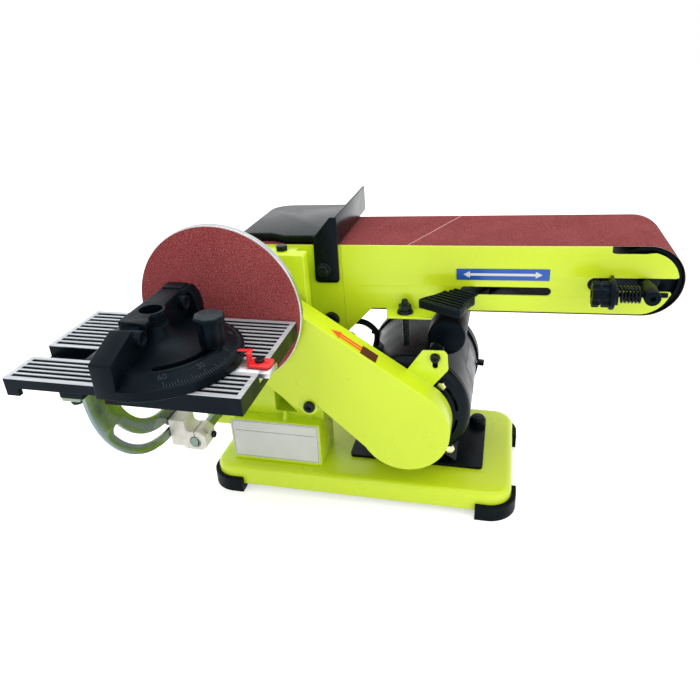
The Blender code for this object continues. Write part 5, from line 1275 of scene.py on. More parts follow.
# ---------------------------------------------------------------- belt arm
@dataclass
class BeltArm:
    """The arm's side plate, the sanding belt over it and the work rest."""

    face: float = 0.080
    plate_back: float = 0.082
    nose: float = 0.0340
    shoulder: float = 0.0334
    top: float = 0.0318
    low: float = 0.0297
    belt_front: float = 0.0825
    belt_back: float = 0.1825
    belt_inner: float = 0.0310
    belt_outer: float = 0.0320
    pivot: float = 0.0220
    guide: float = 0.28501
    slide_radius: float = 0.0063
    rest_top: float = 0.041
    rest_sheet: float = 0.0025
    rest_right: float = 0.090
    rest_front: float = 0.085
    rest_back: float = 0.203
    lock_bolts: tuple[tuple[float, float, float], ...] = (
        (0.0785, -0.0429, 0.008), (0.0940, -0.0640, 0.009))
    stop_bolt: Point = (0.1532, 0.071)
    rest_bolt: Point = (0.0758, 0.0095)

    def build(self) -> None:
        """Makes the arm's pieces."""
        self.plate()
        self.belt()
        self.label()
        self.rest()
        self.bolts()
        dress(STEEL, "platen", "tension_spring")

    def edge(self) -> Outline:
        """Gives the side plate's outline."""
        rise = math.degrees(math.asin(self.shoulder / self.nose))
        outline = arc((0, 0), self.nose, rise, 290, 48)
        outline += eased([(0.062, -0.040), (0.066, -0.060), (0.066, -0.075), (0.102, -0.075),
                          (0.101, -0.061), (0.0929, -0.0565)], 0.004, closed=False)
        outline += [(0.1197, -self.low)]
        outline += arc((0.3570, -0.0046), self.low - 0.0046, -90, -20, 28)
        outline += arc((0.3798, -0.0104), 0.0021, -15, 90, 10)
        outline += arc((0.3195, -0.0023), 0.0060, 270, 90, 24)
        outline += [(0.3840, 0.0037)] + arc((DRUM_GAP, 0), 0.0266, 10, 78, 24)
        outline += eased([(0.3580, 0.0252), (0.3340, 0.0252), (0.3310, 0.0262),
                          (0.3310, self.top)], 0.002, closed=False)
        outline += [(0.200, self.top + 0.0003)]
        return outline

    def plate(self) -> None:
        """Makes the side plate with its tabs and its joggled end, and the brackets inside it, which
        are coloured black as painted shade.
        """
        slot = straight_slot(0.2076, 0.2796, -0.0100, 0.0039)
        holes = [ring((0, 0), self.pivot, 72), slot, ring(self.rest_bolt, 0.0030)]
        holes += [ring((u, w), 0.0028) for u, w, _ in self.lock_bolts]
        arm = Shape(ARM).plate([self.edge(), *holes], self.face, self.plate_back, View.FRONT,
                               0.0004)
        u, y = self.stop_bolt
        tab = [(0.1335, self.plate_back), (0.183, self.plate_back), (0.179, 0.060),
               (0.1375, 0.060)]
        arm.plate([eased(tab, 0.0012), ring((u, y), 0.0033)], -self.low - 0.0019,
                  -self.low + 0.0001, edge=0.0004)
        pivot_u, pivot_y = LEVER_PIVOT
        # The brackets inside the arm are lime in the model but are coloured black here: painted
        # shade inside the arm.
        inside = Shape(ARM)
        inside.block((pivot_u - 0.014, self.plate_back - 0.001, -0.0179),
                     (pivot_u + 0.014, pivot_y + 0.012, -0.0154), 0.0003)
        inside.block((0.3318, 0.044, -0.0065), (0.3343, self.plate_back + 0.0003, 0.0065), 0.0004)
        inside.plate([ring(LEVER_PIVOT, 0.004)], -0.0165, -0.0068, edge=0.0004)
        bracket = [(self.plate_back - 0.001, -0.013), (pivot_y + 0.013, -0.013),
                   (pivot_y + 0.013, 0.013), (self.plate_back - 0.001, 0.013)]
        inside.plate([bracket, ring((pivot_y, 0), self.slide_radius)], self.guide,
                     self.guide + 0.003, View.SIDE, 0.0003)
        inside.piece("arm_brackets_painted_shade", BLACK_PAINT, "arm", "lime_paint")
        arm.cut(Shape(ARM).block((-0.040, self.face - 0.001, -0.080),
                                 (0.0930, self.face + 0.0004, 0.040), 0.0))
        arm.piece("arm_side", LIME, "arm", "lime_paint", "arm_plate")

    def belt(self) -> None:
        """Makes the belt: grit outside, cloth inside coloured dark as painted shade within the
        loop, and a pale cut edge.
        """
        for name, finish, inner, outer, y0, y1 in (
                ("belt_grit", BELT_GRIT, self.belt_outer - 0.0003, self.belt_outer,
                 self.belt_front + 0.0002, self.belt_back - 0.0002),
                ("belt_cloth", SHADED_BELT_CLOTH, self.belt_inner, self.belt_outer - 0.0005,
                 self.belt_front + 0.0001, self.belt_back - 0.0001),
                ("belt_edge", BACKING, self.belt_outer - 0.0005, self.belt_outer - 0.0003,
                 self.belt_front, self.belt_back)):
            loops = [loop_round(DRUM_GAP, outer), loop_round(DRUM_GAP, inner)]
            shape = Shape(ARM).plate(loops, y0, y1, View.FRONT, 0.0)
            shape.piece(name, finish, "arm", "abrasive",
                        *(["sanding_belt"] if name == "belt_grit" else []))
        seam = [(0.1551, self.belt_front + 0.0004), (0.1560, self.belt_front + 0.0004),
                (0.1972, self.belt_back - 0.0004), (0.1963, self.belt_back - 0.0004)]
        Shape(ARM).plate([seam], self.belt_outer - 0.0003, self.belt_outer + 0.00004,
                         edge=0.0).piece("belt_seam", BACKING, "arm", "abrasive")

    def label(self) -> None:
        """Lays the blue film with its plain double arrow over the lever's slot."""
        x0, x1, z0, z1 = 0.2002, 0.2816, 0.0006, 0.0113
        Shape(ARM).plate([eased(rectangle(x0, x1, z0, z1), 0.0008)], self.face - 0.0006,
                         self.face - 0.0003, View.FRONT, 0.0001).piece(
            "label_film", BLUE_FILM, "arm", "blue_label", "tension_label")
        middle, half = (z0 + z1) / 2, 0.0012
        a, b = x0 + 0.006, x1 - 0.006
        head, barb = 0.006, 0.0032
        side = [(a + head, barb), (a + head, half), (b - head, half), (b - head, barb)]
        arrow = [(a, middle), *((x, middle + up) for x, up in side), (b, middle)]
        arrow += [(x, middle - up) for x, up in side[::-1]]
        Shape(ARM).plate([arrow], self.face - 0.00064, self.face - 0.0004, View.FRONT,
                         0.0).piece("label_arrow", WHITE_FILM, "arm", "blue_label")

    def rest(self) -> None:
        """Makes the folded work rest."""
        left, right, sheet = 0.066, self.rest_right, self.rest_sheet
        near, far = self.rest_front, self.rest_front + 0.0087
        shelf = [(-0.010, far), (0.0218, far), (0.0373, near), (right - 0.001, near),
                 (right - 0.001, self.rest_back - 0.003), (0.012, self.rest_back - 0.003)]
        shelf += arc((0.010, self.rest_back - 0.023), 0.020, 90, 180, 24)
        rest = Shape(ARM).plate([shelf], self.rest_top - sheet, self.rest_top, edge=0.0006)
        lip = [(-0.0096, far + 0.0004), (0.0216, far + 0.0004), (0.0371, near + 0.0004),
               (right - 0.0012, near + 0.0004), (right - 0.0012, near + 0.0029),
               (0.0379, near + 0.0029), (0.0224, far + 0.0029), (-0.0096, far + 0.0029)]
        back, edge = self.face - FIT, right + 0.0015
        rest.block((edge - sheet, back - sheet + 0.0004, self.belt_outer + 0.0024),
                   (edge, self.rest_back, 0.060), 0.0008)
        rest.piece("rest_sheet", REST_PAINT, "arm", "black_paint", "work_rest")
        folds = Shape(ARM).plate([lip], self.belt_outer + 0.0009, self.rest_top - 0.0004,
                                 edge=0.0005)
        strap = arc((left + 0.0042, 0.0004), 0.004, 180, 270, 12)
        strap += arc((right - 0.0040, 0.0004), 0.004, 270, 360, 12)
        strap += [(edge - 0.0002, 0.0598), (0.0850, 0.0598), (left + 0.0018, 0.0408)]
        folds.plate([strap, ring(self.rest_bolt, 0.0030)], back - sheet - 0.0001, back - 0.0001,
                    View.FRONT, 0.0006)
        folds.piece("rest_folds", BLACK_PAINT, "arm", "black_paint")
        Fastener("rest_bolt", "arm", self.rest_bolt, back - sheet - 0.0053,
                 back - sheet - FIT, 0.0060, 0.0026, 0.010, Head.HEX, on_arm=True,
                 washer=0.0070).build()

    def bolts(self) -> None:
        """Makes the bolts that lock the arm, and its stop."""
        for node, (u, w, radius) in zip(("arm_lock_bolt", "arm_pivot_bolt"), self.lock_bolts):
            Fastener(node, "arm", (u, w), self.face - 0.0063, self.face - FIT, radius,
                     0.0025, on_arm=True).build()
        foot, top = -0.0634, -self.low + 0.0001
        rows = [(0, foot), (0.0030, foot), (0.0030, top + 0.0003), (0.0075, top + 0.0003),
                (0.0078, top + 0.0008), (0.0070, top + 0.0027), (0.0050, top + 0.0030),
                (0.0050, top + 0.0034), (0, top + 0.0034)]
        stop = Shape(ARM).turned(rows, self.stop_bolt, View.TOP, 40)
        stop.plate([ring(self.stop_bolt, 0.0061, 6)], top + 0.0030, top + 0.0086, edge=0.0006)
        rows = [(0, top + 0.008), (0.0030, top + 0.008), (0.0030, top + 0.0126),
                (0.0024, top + 0.0134), (0.0012, top + 0.0138), (0, top + 0.0138)]
        stop.turned(rows, self.stop_bolt, View.TOP, 32)
        stop.piece("stop_screw", BOLT, "arm", "black_paint", "stop_bolt")


@dataclass
class Idler:
    """The idler's drum and axle, the tracking knob and the tension lever."""

    drum: float = 0.0307
    shell: float = 0.004
    drum_front: float = 0.0855
    drum_back: float = 0.1783
    yoke_back: float = 0.1825
    knob_y: float = 0.052
    slide_y: float = 0.130
    knob_left: float = 0.3140
    knob_right: float = 0.3315
    lever_reach: float = 0.1077
    lever_turn: float = 31.5
    lever_low: float = -0.0151
    lever_high: float = -0.0078
    threads: int = 48
    pitch: float = 0.00105
    ribs: int = 8
    rib_gap: float = 0.0052
    rib_half: float = 0.00135
    rib_rise: float = 0.0024

    def build(self) -> None:
        """Makes the idler's pieces."""
        r, inner = self.drum, self.drum - self.shell
        front, back = self.drum_front, self.drum_back
        rows = [(0.0053, front), (0.012, front), (0.013, front + 0.006), (inner, front + 0.006),
                (inner, front + 0.0004), (inner + 0.0004, front), (r - 0.0006, front),
                (r, front + 0.0006), (r, back - 0.0006), (r - 0.0006, back), (0.0053, back)]
        # The drum is coloured black though it answers to the aluminium slot: painted shade inside
        # the belt loop.
        Shape(ARM).turned(rows, (DRUM_GAP, 0), steps=128).piece(
            "drum", BLACK_PLASTIC, "idler", "aluminium", "idler_drum")
        self.axle()
        self.knob()
        self.lever()
        self.spring("tracking_coil", "tracking_spring", (0.3347, DRUM_GAP - 0.0069), 0.0064,
                    0.0010, self.knob_y)
        self.spring("tension_coil", "tension_spring", (0.2884, 0.3176), 0.0085, 0.0011,
                    self.slide_y)
        dress(DARK_STEEL, "idler_yoke")

    def spring(self, name: str, node: str, ends: Point, radius: float, wire: float,
               y: float) -> None:
        """Winds a spring whose one end stays on the arm while the carriage presses the other.

        Args:
            name: The piece's name.
            node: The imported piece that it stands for.
            ends: Where it starts and ends along the arm.
            radius: The middle radius of its coil.
            wire: The radius of its wire.
            y: How far back its axis lies.
        """
        start, end, turns, steps = ends[0] + wire, ends[1] - wire, 6, 20
        points = [(start + (end - start) * i / (turns * steps),
                   y + radius * math.cos(i * math.tau / steps),
                   radius * math.sin(i * math.tau / steps)) for i in range(turns * steps + 1)]
        coil = Shape(ARM).tube(points, wire).piece(name, DARK_STEEL, "", "steel", node)
        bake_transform(coil)

    def axle(self) -> None:
        """Makes the axle with its block and the tracking screw through it."""
        at = (DRUM_GAP, 0.0)
        rows = [(0, 0.043), (0.0053, 0.043), (0.0061, 0.0433), (0.0065, 0.0442),
                (0.0065, 0.0630), (0.0058, 0.0642), (0.005, 0.066),
                (0.005, self.yoke_back - 0.0002), (0, self.yoke_back - 0.0002)]
        axle = Shape(ARM).turned(rows, at, steps=56)
        axle.cut(Shape(ARM).plate([ring(at, 0.0026, 6)], 0.040, 0.0465, View.FRONT, 0.0))
        flat = Shape(ARM).block((DRUM_GAP - 0.01, 0.074, 0.0003),
                                (DRUM_GAP + 0.01, 0.0820, 0.010), 0.0)
        axle.cut(flat)
        core, crest, start, end = 0.0021, 0.0025, 0.3200, 0.3725
        for i in range(self.threads):
            ridge = start + 0.0005 + i * self.pitch
            axle.turned([(core, ridge), (crest, ridge + 0.00025), (core, ridge + 0.0005)],
                        (self.knob_y, 0), View.SIDE, 20)
        axle.bar((self.knob_y, 0), core, start, end, View.SIDE, 20)
        axle.piece("axle", BLACK_PLASTIC, "carriage", "black_paint", "idler_axle")

    def knob(self) -> None:
        """Makes the fluted tracking knob with its flange."""
        left, right, y = self.knob_left, self.knob_right, self.knob_y
        flutes = lobed((y, 0), 0.0101, 0.0009, 10, 10)
        knob = Shape(ARM).plate([flutes, ring((y, 0), 0.0028)], left, left + 0.0062, View.SIDE,
                                0.0011)
        knob.turned([(0.0028, left + 0.0055), (0.0092, left + 0.0055), (0.0092, left + 0.0082),
                     (0.0028, left + 0.0082)], (y, 0), View.SIDE, 48)
        knob.plate([flutes, ring((y, 0), 0.0028)], left + 0.0075, right - 0.0038, View.SIDE,
                   0.0009)
        knob.turned([(0.0028, right - 0.0044), (0.0100, right - 0.0044),
                     (0.0124, right - 0.0036), (0.0129, right - 0.0028), (0.0129, right - 0.0006),
                     (0.0124, right), (0.0028, right)], (y, 0), View.SIDE, 72)
        knob.piece("knob", BLACK_PLASTIC, "tracking", "black_plastic", "tracking_knob")

    def lever(self) -> None:
        """Makes the tension lever with its flared, ribbed grip."""
        reach, low, high = self.lever_reach, self.lever_low, self.lever_high
        side = [(0.006, 0.046), (0.006, 0.064), (0.0135, 0.070), (0.0165, 0.0745),
                (0.0165, 0.080), (0.0180, 0.089), (0.0215, 0.098), (0.0225, reach - 0.003),
                (0.0205, reach)]
        outline = [(half, -along) for half, along in side]
        outline += [(-half, -along) for half, along in side[::-1]]
        outline = eased(outline, 0.0014)
        outline += arc((0, 0), 0.0110, 237, -57, 48)
        place = ARM @ Matrix.Translation((*LEVER_PIVOT, 0)) @ Matrix.Rotation(
            -math.radians(self.lever_turn), 4, "Z")
        lever = Shape(place).plate([outline, ring((0, 0), 0.0043)], low, high - 0.0018,
                                   edge=0.0006)
        lever.plate([arc((0, 0), 0.0108, 0, 360, 48)[:-1], ring((0, 0), 0.0043)], high - 0.0022,
                    high, edge=0.0004)
        root = high - self.rib_rise
        lever.block((-0.0058, -0.0660, root), (0.0058, -0.0075, high), 0.0005)
        for i in range(self.ribs):
            along = reach - 0.0046 - i * self.rib_gap
            half = min(0.0190, 0.0195 - i * 0.0011)
            if along < 0.080:
                half = min(half, 0.0140)
            lever.block((-half, -along - self.rib_half, root), (half, -along + self.rib_half, high),
                        0.0005)
        for way in (-1, 1):
            rim = [(way * (half - inset), -along) for inset in (0.0002, 0.0024)
                   for half, along in (side[3:] if inset < 0.001 else side[3:][::-1])]
            lever.plate([rim], root, high, edge=0.0004)
        lever.block((-0.0195, -reach + 0.0003, root), (0.0195, -reach + 0.0026, high), 0.0005)
        lever.plate([ring((0, 0.009), 0.003)], low + 0.002, -0.0022, edge=0.0003)
        lever.piece("lever", BLACK_PLASTIC, "lever", "black_plastic", "tension_lever")


# ---------------------------------------------------------------- work table
@dataclass
class WorkTable:
    """The trunnion under the table, and the block and rod that hold it."""

    tilt: Point = (-0.015, -0.021)
    trunnion: float = -0.0615
    plate: float = 0.003
    radius: float = 0.107
    slot: float = 0.0935
    inner: float = 0.075
    under: float = -0.0223
    front: float = -0.1293
    bolt_angle: float = -87.0

    def build(self) -> None:
        """Makes the pieces under the table, and finishes the table itself."""
        dress(MILLED_TABLE, "table")
        self.quadrant()
        self.clamp()

    def quadrant(self) -> None:
        """Makes the slotted trunnion and its screw."""
        top = self.under
        outer = -180 + math.degrees(math.asin((self.tilt[1] - top) / self.radius))
        inner = -180 + math.degrees(math.asin((self.tilt[1] - top) / self.inner))
        outline = arc(self.tilt, self.radius, outer, -80, 56)
        outline += arc(self.tilt, self.inner, -80, inner, 40)
        slot = arc_slot(self.tilt, self.slot, 0.0045, -148, self.bolt_angle + 0.5)
        x, half = self.trunnion, self.plate / 2
        arm = Shape().plate([outline, slot], x - half, x + half, View.SIDE, 0.0004)
        flange = rectangle(-0.0770, x, self.front + 0.0035, self.front + 0.017)
        hole = (-0.0680, self.front + 0.0095)
        arm.plate([eased(flange, 0.0012), ring(hole, 0.0028)], top - self.plate, top, edge=0.0004)
        arm.piece("trunnion_arm", ZINC, "work_table", "zinc", "trunnion")
        seat = top - self.plate - FIT
        Fastener("trunnion_screw", "work_table", hole, seat - 0.0035, seat, 0.0050, 0.0019,
                 0.012, Head.CROSS, View.TOP).build()
        Fastener("tilt_bolt", "machine", self.bolt_place(), x - half - 0.0053, x - half - FIT,
                 0.00635, 0.0030, 0.014, Head.HEX, View.SIDE).build()

    def bolt_place(self) -> Point:
        """Gives the tilt bolt's place in the trunnion's slot."""
        return arc(self.tilt, self.slot, self.bolt_angle, self.bolt_angle, 1)[0]

    def clamp(self) -> None:
        """Makes the split clamp block, the rod in it and the set screw."""
        left, right, z = self.trunnion + self.plate / 2 + FIT, -0.0240, ROD[1]
        outline = [(left, 0.0230), (-0.0440, 0.0230), (-0.0435, 0.0130), (-0.0400, 0.0110),
                   (-0.0300, 0.0120), (right, 0.0070), (right, -0.0055), (-0.0290, -0.0090),
                   (-0.0450, -0.0090), (-0.0480, -0.0060), (left, -0.0060)]
        outline = eased([(x, z + up) for x, up in outline], 0.0016)
        block = Shape().plate([outline, ring(ROD, ROD_RADIUS + FIT, 48)], -0.021,
                              0.0, View.FRONT, 0.0006)
        tools = Shape().bar(self.bolt_place(), 0.0033, left - 0.01, -0.0465, View.SIDE)
        tools.bar((-0.0055, z), 0.0022, ROD[0], right + 0.01, View.SIDE)
        tools.block((-0.0355, -0.03, z + 0.004), (-0.0345, 0.01, z + 0.02), 0.0)
        tools.bar((-0.0132, z + 0.0088), 0.0030, -0.030, 0.0, View.SIDE)
        block.cut(tools)
        block.piece("clamp", DIE_CAST, "machine", "die_cast", "clamp_block")
        start, end, r = -0.0210, 0.0655, ROD_RADIUS
        rod = Shape().bar(ROD, r, start, end, steps=64, rim=0.0006)
        crescent = arc(ROD, r * 0.80, -75, 75, 24)
        crescent += arc((ROD[0] - r * 0.55, z), r * 1.05, 48, -48, 16)
        rod.cut(Shape().plate([crescent], start - 0.002, start + 0.003, View.FRONT, 0.0))
        rod.piece("rod", ZINC, "machine", "zinc", "support_rod")
        Fastener("rod_set_screw", "machine", (-0.0055, z), right + 0.0031, right + FIT,
                 0.0034, 0.0019, 0.0040, Head.SOCKET, View.SIDE).build()


# ---------------------------------------------------------------- mitre gauge
@dataclass
class MitreGauge:
    """The mitre gauge: its bar, its head, its clamping knob and its pointer."""

    pivot: Point = (-0.012, -0.084)
    radius: float = 0.064
    slot: float = 0.045
    table: float = -0.007
    head_top: float = 0.0010
    fence: float = 0.017
    fence_ends: Point = (-0.147, -0.021)
    fence_tops: Point = (0.023, 0.033)
    plateau: float = 0.0085
    hole: Point = (-0.0167, -0.0785)
    pointer: float = 0.0535
    tick_half: float = 0.00028
    long_tick: float = 0.0046
    short_tick: float = 0.0028
    figure_size: float = 0.0066

    def build(self) -> None:
        """Makes the gauge's pieces."""
        self.bar()
        self.head()
        self.scale()
        self.grip()
        self.red_pointer()

    def bar(self) -> None:
        """Makes the bar that slides in the table's slot, bare at its clamped end and coloured black
        towards its tail as painted shade inside the slot.
        """
        x, y = self.pivot
        low, half = self.table - 0.0097, 0.0093
        bar = Shape().block((x - 0.016, y - half, low), (0.0705, y + half, self.table), 0.0005)
        bar.block((0.0690, y - half, self.table - 0.0046), (x + 0.091, y + half, self.table),
                  0.0009)
        bar.turned([(0, self.table - 0.001), (0.005, self.table - 0.001), (0.005, 0.0006),
                    (0.0046, 0.0010), (0, 0.0010)], self.pivot, View.TOP, 40)
        bar.piece("bar", ALUMINIUM, "gauge_slide", "aluminium", "mitre_bar")
        # The tail is coloured black for the shade inside the table's slot: painted shade, not paint
        # on the bar.
        tail = Shape().block((x - 0.063, y - half, low), (x - 0.0155, y + half,
                             self.table - 0.0001), 0.0006)
        tail.piece("bar_tail_painted_shade", BLACK_PAINT, "gauge_slide", "aluminium")

    def head(self) -> None:
        """Makes the head: the dished half-round, the fence and the deck behind it."""
        head = self.dish()
        self.wall(head)
        hole = Shape().bar(self.hole, 0.0090, 0.0050, 0.05, View.TOP, 48)
        slot = arc_slot(self.pivot, self.slot, 0.0036, -64, 64)
        hole.plate([slot], self.table - 0.001, 0.0200, edge=0.0)
        hole.bar(self.pivot, 0.0053, -0.02, 0.0016, View.TOP, 40)
        head.cut(hole)
        head.piece("head", BLACK_PLASTIC, "gauge_head", "black_plastic", "mitre_head")

    def dish(self) -> Shape:
        """Gives the half-round: a sloping scale band round a raised middle."""
        low, r, top = self.table + FIT, self.radius, self.head_top
        rows = [(0, low), (r - 0.0003, low), (r, low + 0.0004), (r, top - 0.0004),
                (r - 0.0004, top), (r - 0.0022, top + 0.0003), (r - 0.0026, top + 0.0001),
                (0.0515, self.plateau - 0.0010), (0.0512, self.plateau - 0.0002),
                (0.0505, self.plateau), (0.0380, self.plateau), (0.0330, self.plateau + 0.0002),
                (0.0270, self.plateau + 0.0009), (0.0210, self.plateau + 0.0024),
                (0.0160, self.plateau + 0.0048), (0.0125, self.plateau + 0.0080),
                (0.0105, self.plateau + 0.0125), (0.0100, 0.0240), (0, 0.0240)]
        dish = Shape().turned(rows, self.pivot, View.TOP, 96, (-90, 90))
        x, y = self.pivot
        left = x - FIT - self.fence
        dish.block((left + 0.004, y - r + 0.004, low), (x + 0.001, y + r - 0.004, 0.0010), 0.0004)
        return dish

    def wall(self, head: Shape) -> None:
        """Adds the fence with its sloping near end, and the deck with its bosses.

        Args:
            head: The head that they are part of.
        """
        low = self.table + FIT
        left = self.pivot[0] - FIT - self.fence
        y0, y1 = self.fence_ends
        top = self.fence_tops[1]
        wall = [(y0, low), (y1, low), (y1, top - 0.010), (-0.0260, top - 0.0015),
                (-0.0980, top - 0.0015), (-0.1060, top - 0.0035), (-0.1100, top - 0.0030),
                (-0.1150, top - 0.0012), (y0 + 0.0010, self.fence_tops[0] - 0.0022),
                (y0, self.fence_tops[0] - 0.0032)]
        head.plate([eased(wall, 0.0007)], left, left + self.fence, View.SIDE, 0.0006)
        deck = [(-0.0303, -0.1030), (-0.0070, -0.1050), (-0.0070, -0.0985), (-0.0105, -0.0935)]
        deck += arc(self.hole, 0.0110, -58, 48, 16)
        deck += [(-0.0108, -0.0650), (-0.0122, -0.0400), (-0.0088, -0.0340), (-0.0088, -0.0240),
                 (-0.0303, -0.0240)]
        head.plate([eased(deck, 0.0008)], top - 0.0050, top, edge=0.0006)
        head.block((-0.0300, -0.0370, top - 0.002), (-0.0120, -0.0245, top + 0.0012), 0.0005)
        head.turned([(0, 0.0), (0.0110, 0.0), (0.0108, top - 0.001), (0, top - 0.001)], self.hole,
                    View.TOP, 48)
        gusset = [(-0.020, top - 0.001), (-0.0088, top - 0.001), (-0.0045, top - 0.0070),
                  (-0.0028, top - 0.0140), (-0.0024, self.plateau - 0.002), (-0.020, 0.0)]
        head.plate([gusset], -0.0330, y1 - 0.0004, View.FRONT, 0.0006)
        for y, z in ((-0.1115, 0.0245), (-0.0420, 0.0235)):
            head.turned([(0, -0.016), (0.0062, -0.016), (0.0062, -0.0068), (0.0056, -0.0062),
                         (0.0040, -0.0062), (0.0032, -0.0076), (0, -0.0080)], (y, z),
                        View.SIDE, 40)

    def scale(self) -> None:
        """Makes the raised ticks and figures of the angle scale."""
        x, y = self.pivot
        inner, outer = 0.0515, self.radius - 0.0026
        rise = self.plateau - 0.0010 - self.head_top - 0.0001
        slope = math.atan2(rise, outer - inner)
        marks = Shape()
        for i in range(-60, 61, 2):
            reach = self.long_tick if i % 10 == 0 else self.short_tick
            band = (Matrix.Translation((x, y, self.head_top + 0.0001))
                    @ Matrix.Rotation(math.radians(i), 4, "Z")
                    @ Matrix.Translation((outer, 0, 0)) @ Matrix.Rotation(slope, 4, "Y"))
            marks.block((-reach, -self.tick_half, -0.0003), (0.0006, self.tick_half, 0.0004),
                        0.0001, band)
            if i % 15 == 0:
                turn = band @ Matrix.Translation((-0.0085, 0, 0)) @ Matrix.Rotation(
                    math.radians(90), 4, "Z")
                marks.figure(str(abs(i)), self.figure_size, 0.0004, turn)
        marks.piece("scale_marks", GREY_CAP, "gauge_head", "black_plastic")

    def grip(self) -> None:
        """Makes the lobed clamping knob with its dark grey cap."""
        low, high = self.plateau + FIT, 0.0340
        x, y = self.pivot[0] + self.slot, self.pivot[1]
        lobes = lobed((x, y), 0.0094, 0.0006, 8, 14)
        knob = Shape().plate([lobes], low + 0.0015, high - 0.0032, edge=0.0008)
        cap = lobed((x, y), 0.0117, 0.0003, 8, 14)
        knob.plate([cap], high - 0.0050, high - 0.0010, edge=0.0014)
        knob.bar((x, y), 0.0085, low, low + 0.002, View.TOP, 48)
        knob.bar((x, y), 0.0020, -0.0145, low + 0.002, View.TOP, 16)
        knob.piece("gauge_grip", BLACK_PLASTIC, "gauge_knob", "black_plastic", "mitre_knob")
        cap = lobed((x, y), 0.0107, 0.0003, 8, 14)
        Shape().plate([cap], high - 0.0016, high, edge=0.0007).piece(
            "gauge_cap", GREY_CAP, "gauge_knob", "black_plastic")

    def red_pointer(self) -> None:
        """Makes the stepped red pointer and the screw that holds it."""
        x, y = self.pointer, self.pivot[1]
        low = self.table + FIT
        high, tip_low, tip_high = low + 0.0022, 0.0016, 0.0028
        base = [(x + 0.0062, y - 0.0035), (x + 0.0225, y - 0.0042), (x + 0.0240, y + 0.0010),
                (x + 0.0232, y + 0.0098), (x + 0.0085, y + 0.0098), (x + 0.0062, y + 0.0070)]
        tip = [(x + 0.0062, y + 0.0010), (x + 0.0075, y + 0.0086), (x + 0.0060, y + 0.0098),
               (x - 0.0035, y + 0.0085), (x - 0.0050, y + 0.0064), (x - 0.0040, y + 0.0048),
               (x + 0.0036, y + 0.0062), (x + 0.0040, y + 0.0010)]
        screw = (x + 0.0135, y + 0.004)
        red = Shape().plate([eased(base, 0.0016), ring(screw, 0.0022)], low, high, edge=0.0004)
        red.plate([eased(tip, 0.0010)], tip_low, tip_high, edge=0.0003)
        red.block((x + 0.0042, y + 0.0012, low + 0.0003), (x + 0.0070, y + 0.0068,
                  tip_high - 0.0003), 0.0004)
        red.piece("pointer", RED_PLASTIC, "gauge_slide", "red_plastic", "mitre_pointer")
        Fastener("pointer_screw", "gauge_slide", screw, high + 0.0022, high + FIT, 0.0036,
                 0.0014, 0.0075, Head.CROSS, View.TOP).build()


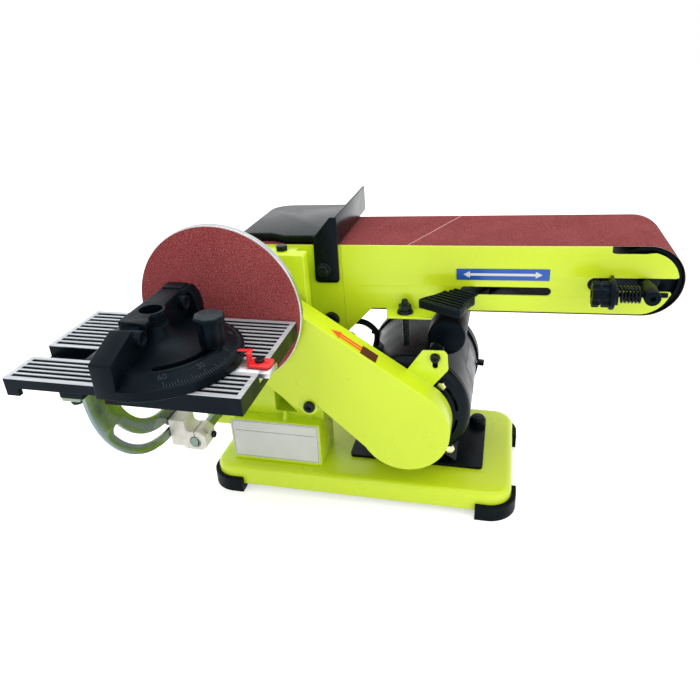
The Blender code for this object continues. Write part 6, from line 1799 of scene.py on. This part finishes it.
# ---------------------------------------------------------------- stage
@dataclass
class Stage:
    """The pale floor, the soft lamps and the camera."""

    eye: Vector = field(default_factory=lambda: Vector((0.1036, -0.5023, 0.4301)))
    heading: float = 0.2520
    dip: float = 0.4700
    roll: float = 0.0510
    lens: float = 32.806
    floor_reach: float = 6.0
    glow: float = 0.45
    room: float = 0.88

    def build(self) -> None:
        """Makes the floor, the lamps, the surroundings and the camera."""
        self.floor()
        self.lamp("key", (-0.9, -1.3, 1.7), (0.0, 0.0, 0.12), 1.3, 8.5)
        self.lamp("fill", (1.5, -1.1, 0.9), (0.05, 0.0, 0.12), 1.2, 6.5)
        self.lamp("over", (0.1, 0.5, 1.9), (0.0, 0.0, 0.1), 1.5, 14.0)
        self.surroundings()
        self.camera()

    def floor(self) -> None:
        """Lays a wide pale floor that keeps the machine's shadow."""
        reach = self.floor_reach
        mesh = bpy.data.meshes.new("floor")
        corners = [(-reach, -reach, 0), (reach, -reach, 0), (reach, reach, 0), (-reach, reach, 0)]
        mesh.from_pydata(corners, [], [(0, 1, 2, 3)])
        floor = bpy.data.objects.new("floor", mesh)
        bpy.context.scene.collection.objects.link(floor)
        nodes = Nodes("pale_floor")
        nodes.shader.inputs["Base Color"].default_value = srgb("F4F4F4")
        nodes.shader.inputs["Roughness"].default_value = 0.9
        nodes.shader.inputs["Specular IOR Level"].default_value = 0.0
        glow = nodes.add("ShaderNodeEmission", Strength=self.seen(nodes, self.glow, 0.0))
        both = nodes.add("ShaderNodeAddShader")
        nodes.feed(both.inputs[0], nodes.shader.outputs[0])
        nodes.feed(both.inputs[1], glow.outputs[0])
        nodes.feed(nodes.tree.nodes["Material Output"].inputs["Surface"], both.outputs[0])
        mesh.materials.append(nodes.material)

    @staticmethod
    def seen(nodes: Nodes, shown: float, unseen: float) -> Socket:
        """Gives one value to rays from the eye, a mirror or glass, and another to the rest."""
        rays = nodes.add("ShaderNodeLightPath").outputs
        either = nodes.math("MAXIMUM", rays["Is Camera Ray"], rays["Is Glossy Ray"])
        either = nodes.math("MAXIMUM", either, rays["Is Transmission Ray"])
        return nodes.span(either, 0.0, 1.0, unseen, shown)

    def lamp(self, name: str, at: Sequence[float], aim: Sequence[float], size: float,
             power: float) -> None:
        """Hangs a soft square lamp.

        Args:
            name: The lamp's name.
            at: Where it hangs.
            aim: The point that it faces.
            size: The length of its side.
            power: Its power in watts.
        """
        light = bpy.data.lights.new(name, "AREA")
        light.size = size
        light.energy = power
        lamp = bpy.data.objects.new(name, light)
        lamp.location = at
        lamp.rotation_euler = (Vector(aim) - Vector(at)).to_track_quat("-Z", "Y").to_euler()
        bpy.context.scene.collection.objects.link(lamp)

    def surroundings(self) -> None:
        """Sets an even white light all round."""
        world = bpy.data.worlds.new("studio")
        bpy.context.scene.world = world
        world.use_nodes = True
        tree = world.node_tree
        rays = tree.nodes.new("ShaderNodeLightPath").outputs
        sockets = [rays["Is Camera Ray"], rays["Is Glossy Ray"], rays["Is Transmission Ray"]]
        total = sockets[0]
        for socket in sockets[1:]:
            larger = tree.nodes.new("ShaderNodeMath")
            larger.operation = "MAXIMUM"
            tree.links.new(total, larger.inputs[0])
            tree.links.new(socket, larger.inputs[1])
            total = larger.outputs[0]
        level = tree.nodes.new("ShaderNodeMapRange")
        level.inputs["To Min"].default_value = self.room
        level.inputs["To Max"].default_value = 1.0
        tree.links.new(total, level.inputs["Value"])
        background = tree.nodes["Background"]
        background.inputs["Color"].default_value = (1, 1, 1, 1)
        tree.links.new(level.outputs[0], background.inputs["Strength"])

    def camera(self) -> None:
        """Stands the camera at the operator's left hand, looking down on the machine."""
        sin, cos = math.sin, math.cos
        ahead = Vector((-sin(self.heading) * cos(self.dip), cos(self.heading) * cos(self.dip),
                        -sin(self.dip)))
        right = ahead.cross(Vector((0, 0, 1))).normalized()
        up = right.cross(ahead)
        turned = Matrix.Rotation(self.roll, 3, ahead)
        right, up = turned @ right, turned @ up
        lens = bpy.data.cameras.new("camera")
        lens.lens = self.lens
        lens.sensor_width = SENSOR
        lens.clip_start = 0.01
        camera = bpy.data.objects.new("camera", lens)
        matrix = Matrix((right, up, -ahead)).transposed().to_4x4()
        matrix.translation = self.eye
        camera.matrix_world = matrix
        bpy.context.scene.collection.objects.link(camera)
        bpy.context.scene.camera = camera


def main() -> None:
    """Builds the stage and every sub-assembly."""
    logging.basicConfig(level=logging.INFO, format="%(message)s")
    bpy.context.scene.view_settings.view_transform = "Standard"
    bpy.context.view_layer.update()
    for part in (Stage(), Base(), Casting(), DriveCover(), Motor(), Disc(), BeltArm(), Idler(),
                 WorkTable(), MitreGauge()):
        LOG.info("building the %s", type(part).__name__)
        part.build()


if __name__ == "__main__":
    main()
